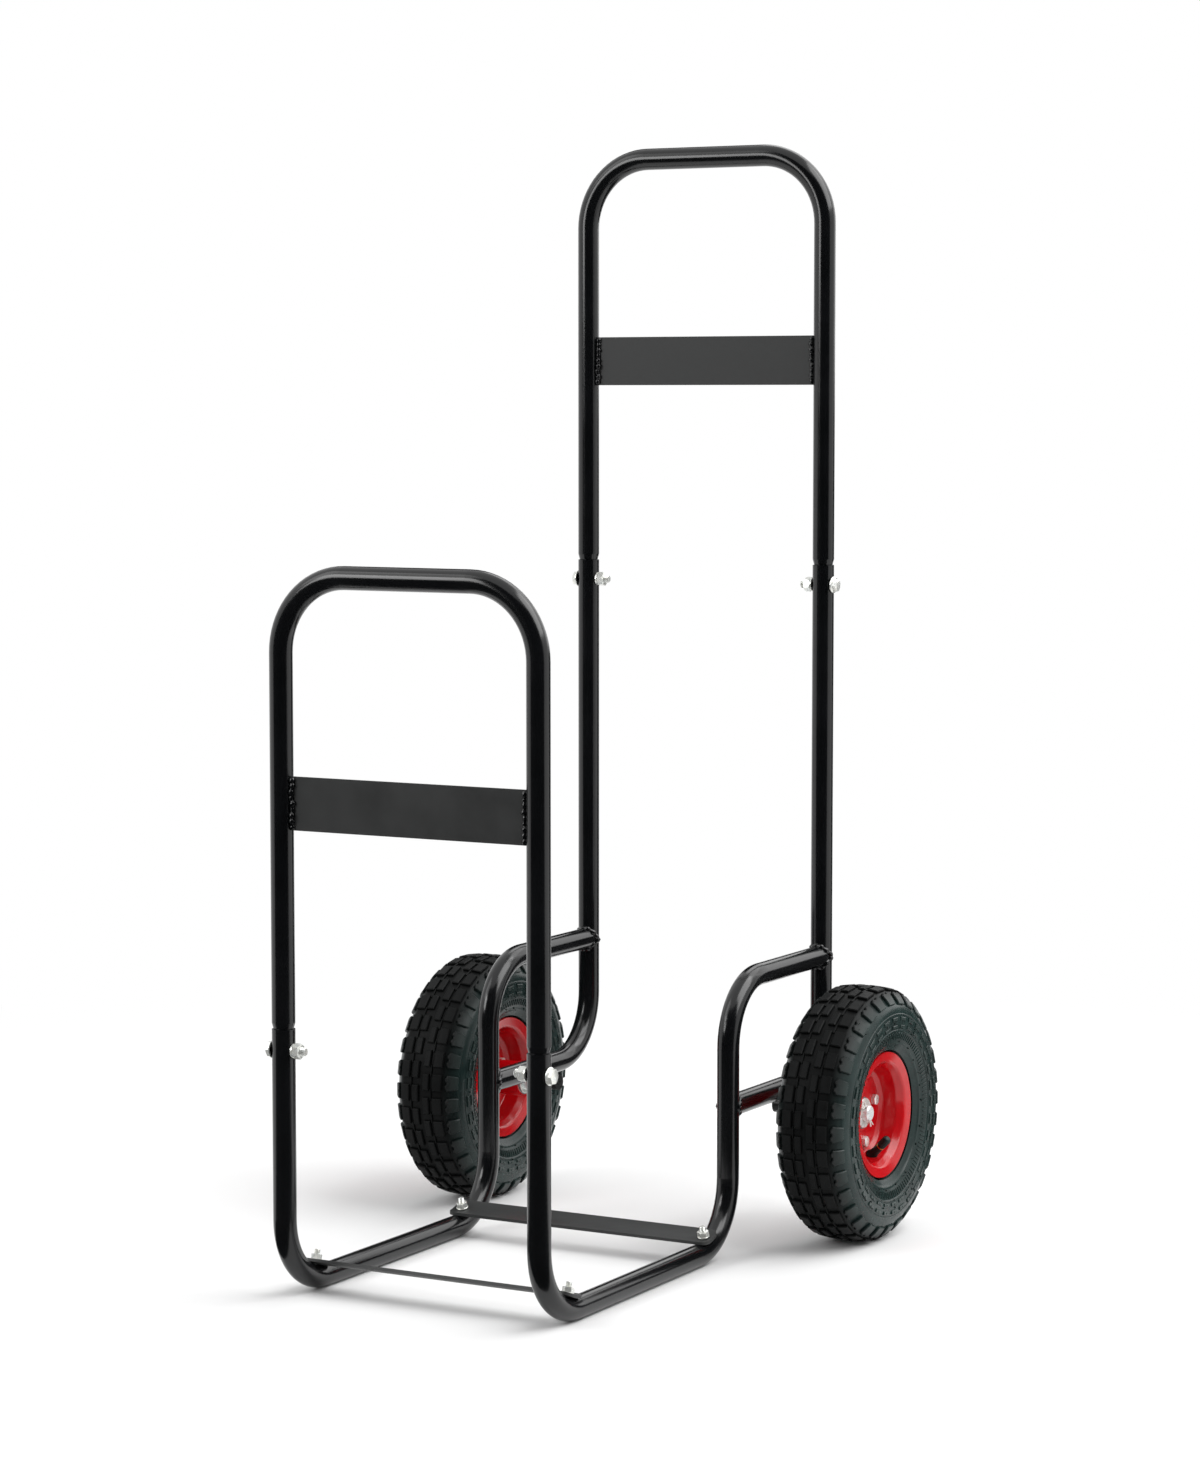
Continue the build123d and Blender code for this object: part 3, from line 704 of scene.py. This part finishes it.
rightTyre = makeTyre()
leftTyre = copied(rightTyre, "leftTyre")
rightVentHairs = makeVentHairs()
leftVentHairs = copied(rightVentHairs, "leftVentHairs")
for side, piece, hairs in (("right", rightTyre, rightVentHairs), ("left", leftTyre, leftVentHairs)):
    placed(piece, axlePlaces[side + "_wheel"], (wheels[side], 0, 0))
    finished(piece, side + "_wheel", "tyre_rubber", tyreBlack, side + "_tyre")
    placed(hairs, axlePlaces[side + "_wheel"], (wheels[side], 0, 0))
    # the hairs and stubs take the valve's blacker rubber, darker than the tyre's, so they show as dark specks:
    # painted shade
    finished(hairs, side + "_wheel", "tyre_rubber", valveBlack)
print("tyres made")


# Weld beads: short overlapping ripples where flat bars, shelf runs, struts and axles meet the tubes
weld = {  # mm
    "seed": 11,
    "radius": 3.2,
    "ripple": 3.6,
    "rippleSteps": 4,  # points along one ripple
    "passSteps": 6,  # points along one pass of the torch
    "lump": (0.55, 1.25), "flat": 0.55,  # size of a pass, and the share of the bead that stays level
    "drift": 0.8,
    "barInward": 1.8, "barOutward": 1.0, "barEnd": 1.0,  # from the corners of a flat bar
    "saddleLift": 0.4,
    "axleRadius": 2.3, "axleHalf": 9.0, "axleDrop": 0.8,
    "axleSide": 5.0,  # from the axle's centreline to its two beads
    "riserY": 64.5,  # centreline of the rails' risers
    "crease": 60,
}


def rippled(draw, points, radius, ring=False):
    # each pass of the torch leaves a lump of its own size, a little to one side of the seam
    count = weld["passSteps"]
    flat = weld["flat"]
    radii = []
    places = []
    for k, point in enumerate(points):
        if k % count == 0:
            lump = draw.uniform(*weld["lump"])
            drift = Vector([draw.uniform(-1, 1) * weld["drift"] * mm for _ in range(3)])
        swell = math.sin((k % count + 0.5) * math.pi / count)
        radii.append(radius * (flat + (1 - flat) * swell * lump))
        places.append(point + drift * swell)
    return bead("weldBead", places, radii, ring)


def weldSteps(length):
    return int(length / (weld["ripple"] * mm / weld["rippleSteps"]))


def lineOf(start, end):
    count = max(weld["rippleSteps"], weldSteps((end - start).length))
    return [start.lerp(end, k / count) for k in range(count + 1)]


def saddle(x, y, z, facing):
    # where a tube along Y butts against an upright tube
    points = []
    count = weldSteps(2 * math.pi * tubeRadius)
    for k in range(count):
        angle = 2 * math.pi * k / count
        across = tubeRadius * math.cos(angle)
        back = math.sqrt(max(tubeRadius ** 2 - across ** 2, 0)) + weld["saddleLift"] * mm
        points.append(Vector((x + across, y + facing * back, z + tubeRadius * math.sin(angle))))
    return points


def makeWelds():
    draw = random.Random(weld["seed"])
    beads = []
    for name in ("front_hoop_bar", "rear_hoop_bar"):
        low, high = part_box(name)
        for x, inward in ((low.x, 1), (high.x, -1)):
            for y, outward in ((low.y, -1), (high.y, 1)):
                seamX = x + inward * weld["barInward"] * mm
                seamY = y + outward * weld["barOutward"] * mm
                start = Vector((seamX, seamY, low.z + weld["barEnd"] * mm))
                end = Vector((seamX, seamY, high.z - weld["barEnd"] * mm))
                beads.append(rippled(draw, lineOf(start, end), weld["radius"]))
    for side, sign in wheels.items():
        x = sign * sideX
        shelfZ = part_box(side + "_side_rail")[1].z - tubeRadius
        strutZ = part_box(side + "_rear_leg")[0].z + tubeRadius
        beads.append(rippled(draw, saddle(x, rearY, shelfZ, -1), weld["radius"], True))
        beads.append(rippled(draw, saddle(x, weld["riserY"] * mm, strutZ, 1), weld["radius"], True))
        axle = axlePlaces[side + "_wheel"]
        for across in (-1, 1):
            y = axle.y + across * weld["axleSide"] * mm
            z = strutZ - tubeRadius - weld["axleDrop"] * mm
            start = Vector((x - weld["axleHalf"] * mm, y, z))
            end = Vector((x + weld["axleHalf"] * mm, y, z))
            beads.append(rippled(draw, lineOf(start, end), weld["axleRadius"]))
    return beads


weldBeads = joined(makeWelds(), "weldBeads")
smoothed(weldBeads, weld["crease"])
finished(weldBeads, "frame", "black_tube", tubeCoat)
print("welds laid")


# Fastener shapes, each standing on its seat along local Z
shape = {
    "hexFace": 0.48,  # of the width across flats, where the end of a hexagon is flat
    "hexDrop": 0.55,  # of the corners' reach past that, as the height of the chamfer
    "hexSpare": 0.2,  # mm by which the chamfering tool clears the corners
    "threadLead": 0.4,  # mm before the first groove
    "threadDepth": 0.5, "threadTip": 0.7, "threadTaper": 0.6,  # of the pitch
    "washerEdge": 0.2,  # of the thickness
    "splitSweep": 350,  # degrees of ring in a spring washer
    "crease": 30,
}


def hexBlank(name, flats, height, lowChamfer):
    corner = flats / math.sqrt(3)
    bpy.ops.object.select_all(action="DESELECT")
    bpy.ops.mesh.primitive_cylinder_add(vertices=6, radius=corner * mm, depth=height * mm)
    piece = bpy.context.active_object
    piece.name = name
    placed(piece, (0, 0, height / 2 * mm), (0, 0, 1))
    face = shape["hexFace"] * flats
    drop = shape["hexDrop"] * (corner - face)
    wide = corner + shape["hexSpare"]
    low = [(0, face), (drop, wide)] if lowChamfer else [(0, wide)]
    outline = [(0, 0)] + low + [(height - drop, wide), (height, face), (height, 0)]
    cut(piece, turned("chamferTool", outline, steps=60), "INTERSECT")
    return piece


def threadRod(name, radius, length, pitch):
    valley = radius - shape["threadDepth"] * pitch
    outline = [(0, 0), (0, radius)]
    for k in range(int(length / pitch) - 1):
        crest = k * pitch + shape["threadLead"]
        outline += [(crest, radius), (crest + pitch / 2, valley)]
    tip = radius - shape["threadTaper"] * pitch
    outline += [(length - shape["threadTip"] * pitch, radius), (length, tip), (length, 0)]
    return turned(name, outline, steps=32)


def flatWasher(name, bore, rim, thick):
    soft = shape["washerEdge"] * thick
    outline = [
        (0, bore), (0, rim - soft), (soft, rim), (thick - soft, rim), (thick, rim - soft),
        (thick, bore + soft), (thick - soft, bore)]
    return turned(name, outline, steps=56)


def springWasher(name, bore, rim, thick, rise):
    # a split ring whose ends stand apart
    corners = [(bore, 0, 0), (rim, 0, 0), (rim, 0, thick), (bore, 0, thick)]
    piece = startOutline(name, corners)
    sweep = math.radians(shape["splitSweep"])
    openMesh(piece)
    bpy.ops.mesh.spin(steps=44, angle=sweep, center=(0, 0, 0), axis=(0, 0, 1))
    bpy.ops.mesh.select_all(action="SELECT")
    bpy.ops.mesh.remove_doubles(threshold=mergeGap)
    bpy.ops.mesh.fill_holes(sides=0)
    closeMesh()
    for vertex in piece.data.vertices:
        angle = math.atan2(vertex.co.y, vertex.co.x) % (2 * math.pi)
        vertex.co.z += rise * mm * angle / (2 * math.pi)
    return piece


def repeated(piece, name, seats):
    # one copy at every seat; a seat is a place, a direction and a spin
    parts = []
    for place, way, spin in seats:
        parts.append(placed(copied(piece, name), place, way, spin))
    bpy.data.objects.remove(piece)
    whole = joined(parts, name)
    smoothed(whole, shape["crease"])
    return whole


# Flanged bolts, spring washers and nuts of the four plug joints
jointSet = {  # mm
    "flats": 13.0, "head": 5.3, "thread": 4.0, "threadPitch": 1.25, "threadEnd": 11.5, "nut": 6.5,
    "flange": 8.5,
    "flangeOutline": [(0, 0), (0, 8.3), (0.3, 8.5), (1.0, 8.5), (1.5, 8.1), (2.1, 6.6), (2.1, 0)],
    "washerBore": 4.3, "washerRim": 7.0, "washer": 1.55, "washerRise": 0.42,
    "headSpins": (0.5, 1.7), "nutSpins": (0.9, 0.2), "washerSpins": (0.6, 2.4),  # front and rear joint
}
boltLow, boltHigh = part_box("hoop_bolts")
headX = boltHigh.x - jointSet["head"] * mm
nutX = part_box("hoop_nuts")[1].x
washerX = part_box("hoop_spring_washers")[1].x
frontBoltZ = boltLow.z + jointSet["flange"] * mm
rearBoltZ = boltHigh.z - jointSet["flange"] * mm


def jointSeats(x, facing, spins):
    seats = []
    for sign in (1, -1):
        for k, (y, z) in enumerate(((frontY, frontBoltZ), (rearY, rearBoltZ))):
            seats.append((Vector((sign * x, y, z)), (sign * facing, 0, 0), spins[k] + sign))
    return seats


head = [
    turned("boltFlange", jointSet["flangeOutline"], steps=56),
    hexBlank("boltHead", jointSet["flats"], jointSet["head"], False),
]
headSeats = jointSeats(headX, 1, jointSet["headSpins"])
hoopBolts = repeated(joined(head, "flangeBolt"), "hoopBolts", headSeats)
shank = threadRod("boltEnd", jointSet["thread"], jointSet["threadEnd"], jointSet["threadPitch"])
boltEnds = repeated(shank, "boltEnds", jointSeats(nutX, -1, (0, 0)))
hoopBolts = joined([hoopBolts, boltEnds], "hoopBolts")
finished(hoopBolts, "frame", "zinc_plate", zinc, "hoop_bolts")
nut = hexBlank("jointNut", jointSet["flats"], jointSet["nut"], True)
hoopNuts = repeated(nut, "hoopNuts", jointSeats(nutX, -1, jointSet["nutSpins"]))
finished(hoopNuts, "frame", "zinc_plate", zinc, "hoop_nuts")
ring = springWasher(
    "jointWasher", jointSet["washerBore"], jointSet["washerRim"],
    jointSet["washer"], jointSet["washerRise"])
washerSeats = jointSeats(washerX, -1, jointSet["washerSpins"])
hoopWashers = repeated(ring, "hoopSpringWashers", washerSeats)
finished(hoopWashers, "frame", "zinc_plate", zinc, "hoop_spring_washers")
print("plug joints bolted")


# Studs, washers and nuts that hold the cross slats in the rails' lower bends
slatSet = {
    "bends": ((-242.5, -1), (-1.5, 1)),  # mm, bend centre along Y and the way the slat lies from it
    "bendZ": 77.0,
    "angle": 15.64,  # degrees from straight down
    "studSeat": 54.9, "washerSeat": 51.55, "nutSeat": 50.35,  # mm from the bend's centre
    "stud": 14.5, "thread": 3.0, "threadPitch": 1.0, "flats": 10.0, "nut": 5.0,
    "washerBore": 3.2, "washerRim": 6.0, "washer": 1.2,
    "nutSpin": 0.3, "sideSpin": 0.7,
}


def slatSeats(radius, spin):
    lean = math.radians(slatSet["angle"])
    seats = []
    for bendY, facing in slatSet["bends"]:
        out = Vector((0, facing * math.sin(lean), -math.cos(lean)))
        centre = Vector((0, bendY, slatSet["bendZ"]))
        for sign in (1, -1):
            place = (centre + out * radius) * mm
            place.x = sign * sideX
            seats.append((place, -out, spin + slatSet["sideSpin"] * sign))
    return seats


stud = threadRod("slatStud", slatSet["thread"], slatSet["stud"], slatSet["threadPitch"])
slatStuds = repeated(stud, "slatStuds", slatSeats(slatSet["studSeat"], 0))
finished(slatStuds, "frame", "zinc_plate", zinc, "slat_studs")
ring = flatWasher("slatWasher", slatSet["washerBore"], slatSet["washerRim"], slatSet["washer"])
slatWashers = repeated(ring, "slatWashers", slatSeats(slatSet["washerSeat"], 0))
finished(slatWashers, "frame", "zinc_plate", zinc, "slat_washers")
nut = hexBlank("slatNut", slatSet["flats"], slatSet["nut"], True)
slatNuts = repeated(nut, "slatNuts", slatSeats(slatSet["nutSeat"], slatSet["nutSpin"]))
finished(slatNuts, "frame", "zinc_plate", zinc, "slat_nuts")
print("slats bolted")


# Bolts and nuts that clamp the two rim halves
rimSet = {
    "circle": 32.0, "count": 4, "angle": 15.0, "headSeat": 2.0, "nutSeat": -2.0,
    "flats": 10.0, "head": 4.0, "nut": 5.0, "thread": 3.0, "threadEnd": 8.0, "threadPitch": 1.0,
    "headSpin": 0.2, "nutSpin": 0.6, "nextSpin": 1.3,
}


def rimSeats(side, offset, facing, spin):
    sign = wheels[side]
    seats = []
    for k in range(rimSet["count"]):
        angle = math.radians(rimSet["angle"] + 360 / rimSet["count"] * k)
        out = Vector((0, math.cos(angle), math.sin(angle))) * rimSet["circle"] * mm
        place = axlePlaces[side + "_wheel"] + out + Vector((sign * offset * mm, 0, 0))
        seats.append((place, (sign * facing, 0, 0), spin + rimSet["nextSpin"] * k))
    return seats


for side in wheels:
    head = hexBlank("rimHead", rimSet["flats"], rimSet["head"], False)
    headSeats = rimSeats(side, rimSet["headSeat"], 1, rimSet["headSpin"])
    rimBolts = repeated(head, side + "RimBolts", headSeats)
    shank = threadRod("rimBoltEnd", rimSet["thread"], rimSet["threadEnd"], rimSet["threadPitch"])
    rimEnds = repeated(shank, "rimBoltEnds", rimSeats(side, rimSet["nutSeat"], -1, 0))
    rimBolts = joined([rimBolts, rimEnds], side + "RimBolts")
    finished(rimBolts, side + "_wheel", "zinc_plate", zinc, side + "_rim_bolts")
    nut = hexBlank("rimNut", rimSet["flats"], rimSet["nut"], True)
    nutSeats = rimSeats(side, rimSet["nutSeat"], -1, rimSet["nutSpin"])
    rimNuts = repeated(nut, side + "RimNuts", nutSeats)
    finished(rimNuts, side + "_wheel", "zinc_plate", zinc, side + "_rim_nuts")
print("rims bolted")


# Washers and split pins on the axles
axleSet = {
    "washerBore": 8.1, "washerRim": 15.0, "washer": 2.0,
    "outerWasher": 224.3, "innerWasher": 164.7,  # mm from the middle of the rack
    "pinX": 228.15, "pinAngle": -50.0, "pinWire": 0.85,
    "pinEye": 3.6, "eyeSteps": 36, "legSteps": 24,
    "pinHole": 9.0,  # mm from the axle's centreline, as are the next three
    "pinHead": 12.5, "pinLegs": (20.0, 17.5), "pinSplay": (1.2, 1.7),
    "pinCrease": 40,
}
seats = []
for side, sign in wheels.items():
    for x in (axleSet["outerWasher"], axleSet["innerWasher"]):
        place = axlePlaces[side + "_wheel"].copy()
        place.x = sign * x * mm
        seats.append((place, (sign, 0, 0), 0))
ring = flatWasher("axleWasher", axleSet["washerBore"], axleSet["washerRim"], axleSet["washer"])
axleWashers = repeated(ring, "axleWashers", seats)
finished(axleWashers, "frame", "zinc_plate", zinc, "axle_washers")


def splitPin(side):
    # an eye of half-round wire whose two legs lie side by side and part at their ends
    centre = axlePlaces[side + "_wheel"].copy()
    centre.x = wheels[side] * axleSet["pinX"] * mm
    angle = math.radians(axleSet["pinAngle"])
    way = Vector((0, math.cos(angle), math.sin(angle))) * mm
    across = Vector((0, -way.z, way.y))
    eyeCentre = centre - way * axleSet["pinHead"]
    wire = axleSet["pinWire"]
    hole = axleSet["pinHole"]
    count = axleSet["eyeSteps"]
    points = []
    for k in range(count):
        turn = 2 * math.pi * k / count
        points.append(eyeCentre + (way * math.cos(turn) + across * math.sin(turn)) * axleSet["pinEye"])
    parts = [bead("pinEye", points, [wire] * count, True)]
    for part, end, splay in zip((1, -1), axleSet["pinLegs"], axleSet["pinSplay"]):
        leg = []
        for step in range(axleSet["legSteps"] + 1):
            along = -hole + (end + hole) * step / axleSet["legSteps"]
            spread = wire + splay * max(0, (along - hole) / (end - hole)) ** 2
            leg.append(centre + way * along + across * part * spread)
        parts.append(bead("pinLeg", leg, [wire] * len(leg)))
    return joined(parts, side + "SplitPin")


splitPins = joined([splitPin("right"), splitPin("left")], "splitPins")
smoothed(splitPins, axleSet["pinCrease"])
finished(splitPins, "frame", "zinc_plate", zinc, "split_pins")
print("wheels pinned")


# Valves: rubber stem swelling at the rim, a thin brass neck, and a ribbed cap
valve = {
    "angle": -74.0, "lean": 45.0,  # degrees round the wheel and off its face
    "capMiddle": 23.5,  # mm from the root, as are the outlines, each with its radius
    "stem": [(-4, 0), (-4, 4.3), (-1.5, 4.4), (-0.5, 6.2), (1.2, 6.3), (2.6, 5.4), (5, 4.6), (9, 4.4),
             (9.4, 4.1), (10, 4.1), (10.4, 4.35), (15.3, 4.3), (15.6, 4.1), (15.6, 0)],
    "neck": [(15.5, 0), (15.5, 4.2), (15.7, 4.3), (16.6, 4.3), (16.8, 4.1), (17.4, 3.1), (17.4, 0)],
    "cap": [(17, 0), (17, 4.1), (17.3, 4.5), (18.2, 4.5), (18.5, 4.35), (27.4, 4.3), (28.4, 4.0),
            (29.4, 3.2), (30, 1.8), (30, 0)],
    "ribs": 14, "ribSteps": 6, "ribFrom": 18.4, "ribTo": 27.6, "ribDepth": 0.22,
}


def ribbedCap(name):
    cap = turned(name, valve["cap"], valve["ribs"] * valve["ribSteps"])
    for vertex in cap.data.vertices:
        along = vertex.co.z / mm
        radius = math.hypot(vertex.co.x, vertex.co.y) / mm
        if valve["ribFrom"] < along < valve["ribTo"] and radius > 1:
            angle = math.atan2(vertex.co.y, vertex.co.x)
            share = 1 + valve["ribDepth"] * math.cos(valve["ribs"] * angle) / radius
            vertex.co.x *= share
            vertex.co.y *= share
    return cap


for side, sign in wheels.items():
    angle = math.radians(valve["angle"])
    lean = math.radians(valve["lean"])
    out = Vector((0, math.cos(angle), math.sin(angle)))
    way = Vector((sign, 0, 0)) * math.sin(lean) - out * math.cos(lean)
    root = middle(side + "_valve_cap") - way * valve["capMiddle"] * mm
    stem = repeated(turned("stem", valve["stem"], steps=40), side + "ValveStem", [(root, way, 0)])
    finished(stem, side + "_wheel", "valve_rubber", valveBlack, side + "_valve_stem")
    neck = repeated(turned("neck", valve["neck"], steps=32), side + "ValveNeck", [(root, way, 0)])
    finished(neck, side + "_wheel", "valve_rubber", brass)
    cap = repeated(ribbedCap("cap"), side + "ValveCap", [(root, way, 0)])
    finished(cap, side + "_wheel", "valve_rubber", valveBlack, side + "_valve_cap")
print("valves set")


# Floor, lamps and white surround
white = (1, 1, 1, 1)
floorSetup = {"size": 12.0, "litTo": 0.7, "whiteFrom": 1.7, "colours": ("ebebeb", "e8e8e8")}  # metres
bpy.ops.object.select_all(action="DESELECT")
bpy.ops.mesh.primitive_plane_add(size=floorSetup["size"], location=(0, 0, 0))
floor = bpy.context.active_object
floor.name = "studioFloor"


def paleFloor():
    # lit near the rack, where it keeps the shadow, and fading to the white surround further off
    material, shader, place = startMaterial("paleFloor", {"Specular IOR Level": 0.0})
    colour = blotches(material, place, 900, 2, 0.2, 0.8, floorSetup["colours"])[0]
    material.node_tree.links.new(colour, shader.inputs["Base Color"])
    far = addNode(material, "ShaderNodeVectorMath", {"operation": "LENGTH"}, {0: place})
    fade = addNode(material, "ShaderNodeMapRange", {"interpolation_type": "SMOOTHSTEP"}, {
        "Value": far.outputs["Value"],
        "From Min": floorSetup["litTo"], "From Max": floorSetup["whiteFrom"]})
    rays = addNode(material, "ShaderNodeLightPath", {}, {})
    seen = addNode(material, "ShaderNodeMath", {"operation": "MAXIMUM"}, {
        0: rays.outputs["Is Camera Ray"], 1: rays.outputs["Is Glossy Ray"]})
    share = addNode(material, "ShaderNodeMath", {"operation": "MULTIPLY"}, {
        0: fade.outputs["Result"], 1: seen.outputs["Value"]})
    glow = addNode(material, "ShaderNodeEmission", {}, {"Color": white, "Strength": 1.0})
    mix = addNode(material, "ShaderNodeMixShader", {}, {
        0: share.outputs["Value"], 1: shader.outputs["BSDF"], 2: glow.outputs["Emission"]})
    surface = material.node_tree.nodes["Material Output"].inputs["Surface"]
    material.node_tree.links.new(mix.outputs["Shader"], surface)
    return material


floor.data.materials.append(paleFloor())

# Dark drapes round the rack, which only the mirror images in the tubes meet: one behind the camera
# and one at the back on the right, both laid on along the floor, and one hung higher at the back
drapes = {  # degrees round the rack, and metres out and up at the near edge, the fold and the top
    "frontDrape": {"from": -136.0, "to": -6.6, "rows": ((0.36, 0.002), (5.5, 0.002), (5.5, 7.0))},
    "sideDrape": {"from": 53.0, "to": 86.0, "rows": ((0.5, 0.002), (5.5, 0.002), (5.5, 4.4))},
    "rearDrape": {"from": 86.0, "to": 132.0, "rows": ((5.5, 0.9), (5.5, 2.5), (5.5, 5.0))},
}


def blackFelt():
    material, shader, place = startMaterial("blackFelt", {"Roughness": 0.9, "Specular IOR Level": 0.1})
    colour = blotches(material, place, 400, 3, 0.3, 0.7, ("0c0c0d", "121213"))[0]
    material.node_tree.links.new(colour, shader.inputs["Base Color"])
    return material


def hangDrape(name, setup, material):
    bpy.ops.object.select_all(action="DESELECT")
    bpy.ops.mesh.primitive_grid_add(x_subdivisions=24, y_subdivisions=2, size=2)
    cloth = bpy.context.active_object
    cloth.name = name
    for vertex in cloth.data.vertices:
        share = (vertex.co.x + 1) / 2
        angle = math.radians(setup["from"] + (setup["to"] - setup["from"]) * share)
        reach, height = setup["rows"][round(vertex.co.y) + 1]
        vertex.co = (reach * math.cos(angle), reach * math.sin(angle), height)
    cloth.visible_camera = False
    cloth.visible_diffuse = False
    cloth.visible_shadow = False
    cloth.data.materials.append(material)


felt = blackFelt()
for name, setup in drapes.items():
    hangDrape(name, setup, felt)

lamps = {
    "keyBox": {"place": (2.7, 0.6, 3.4), "aim": (0, 0, 0.4), "size": 3.4, "power": 150},
    "fillBox": {"place": (-2.6, -2.4, 3.2), "aim": (0, 0, 0.5), "size": 2.4, "power": 32},
    "stripBox": {"place": (-1.4, -2.2, 1.5), "aim": (0, 0.25, 0.87), "size": 1.0, "power": 19},
    "backBox": {"place": (0.6, 3.4, 2.7), "aim": (0, 0, 0.4), "size": 4.4, "power": 110},
}
for name, lamp in lamps.items():
    aim = Vector(lamp["aim"]) - Vector(lamp["place"])
    turn = aim.to_track_quat("-Z", "Y").to_euler()
    bpy.ops.object.select_all(action="DESELECT")
    bpy.ops.object.light_add(type="AREA", location=lamp["place"], rotation=turn)
    light = bpy.context.active_object
    light.name = name
    light.data.size = lamp["size"]
    light.data.energy = lamp["power"]

surroundSetup = {"lights": 0.5, "shows": 1.0}  # strength for the diffuse light, and where it is seen
surround = bpy.data.worlds.new("whiteSurround")
surround.use_nodes = True
bpy.context.scene.world = surround
rays = addNode(surround, "ShaderNodeLightPath", {}, {})
seen = addNode(surround, "ShaderNodeMath", {"operation": "MAXIMUM"}, {
    0: rays.outputs["Is Camera Ray"], 1: rays.outputs["Is Glossy Ray"]})
seenThrough = addNode(surround, "ShaderNodeMath", {"operation": "MAXIMUM"}, {
    0: seen.outputs["Value"], 1: rays.outputs["Is Transmission Ray"]})
strength = addNode(surround, "ShaderNodeMapRange", {}, {
    "Value": seenThrough.outputs["Value"],
    "To Min": surroundSetup["lights"], "To Max": surroundSetup["shows"]})
sky = surround.node_tree.nodes["Background"]
sky.inputs["Color"].default_value = white
surround.node_tree.links.new(strength.outputs["Result"], sky.inputs["Strength"])
print("stage lit")
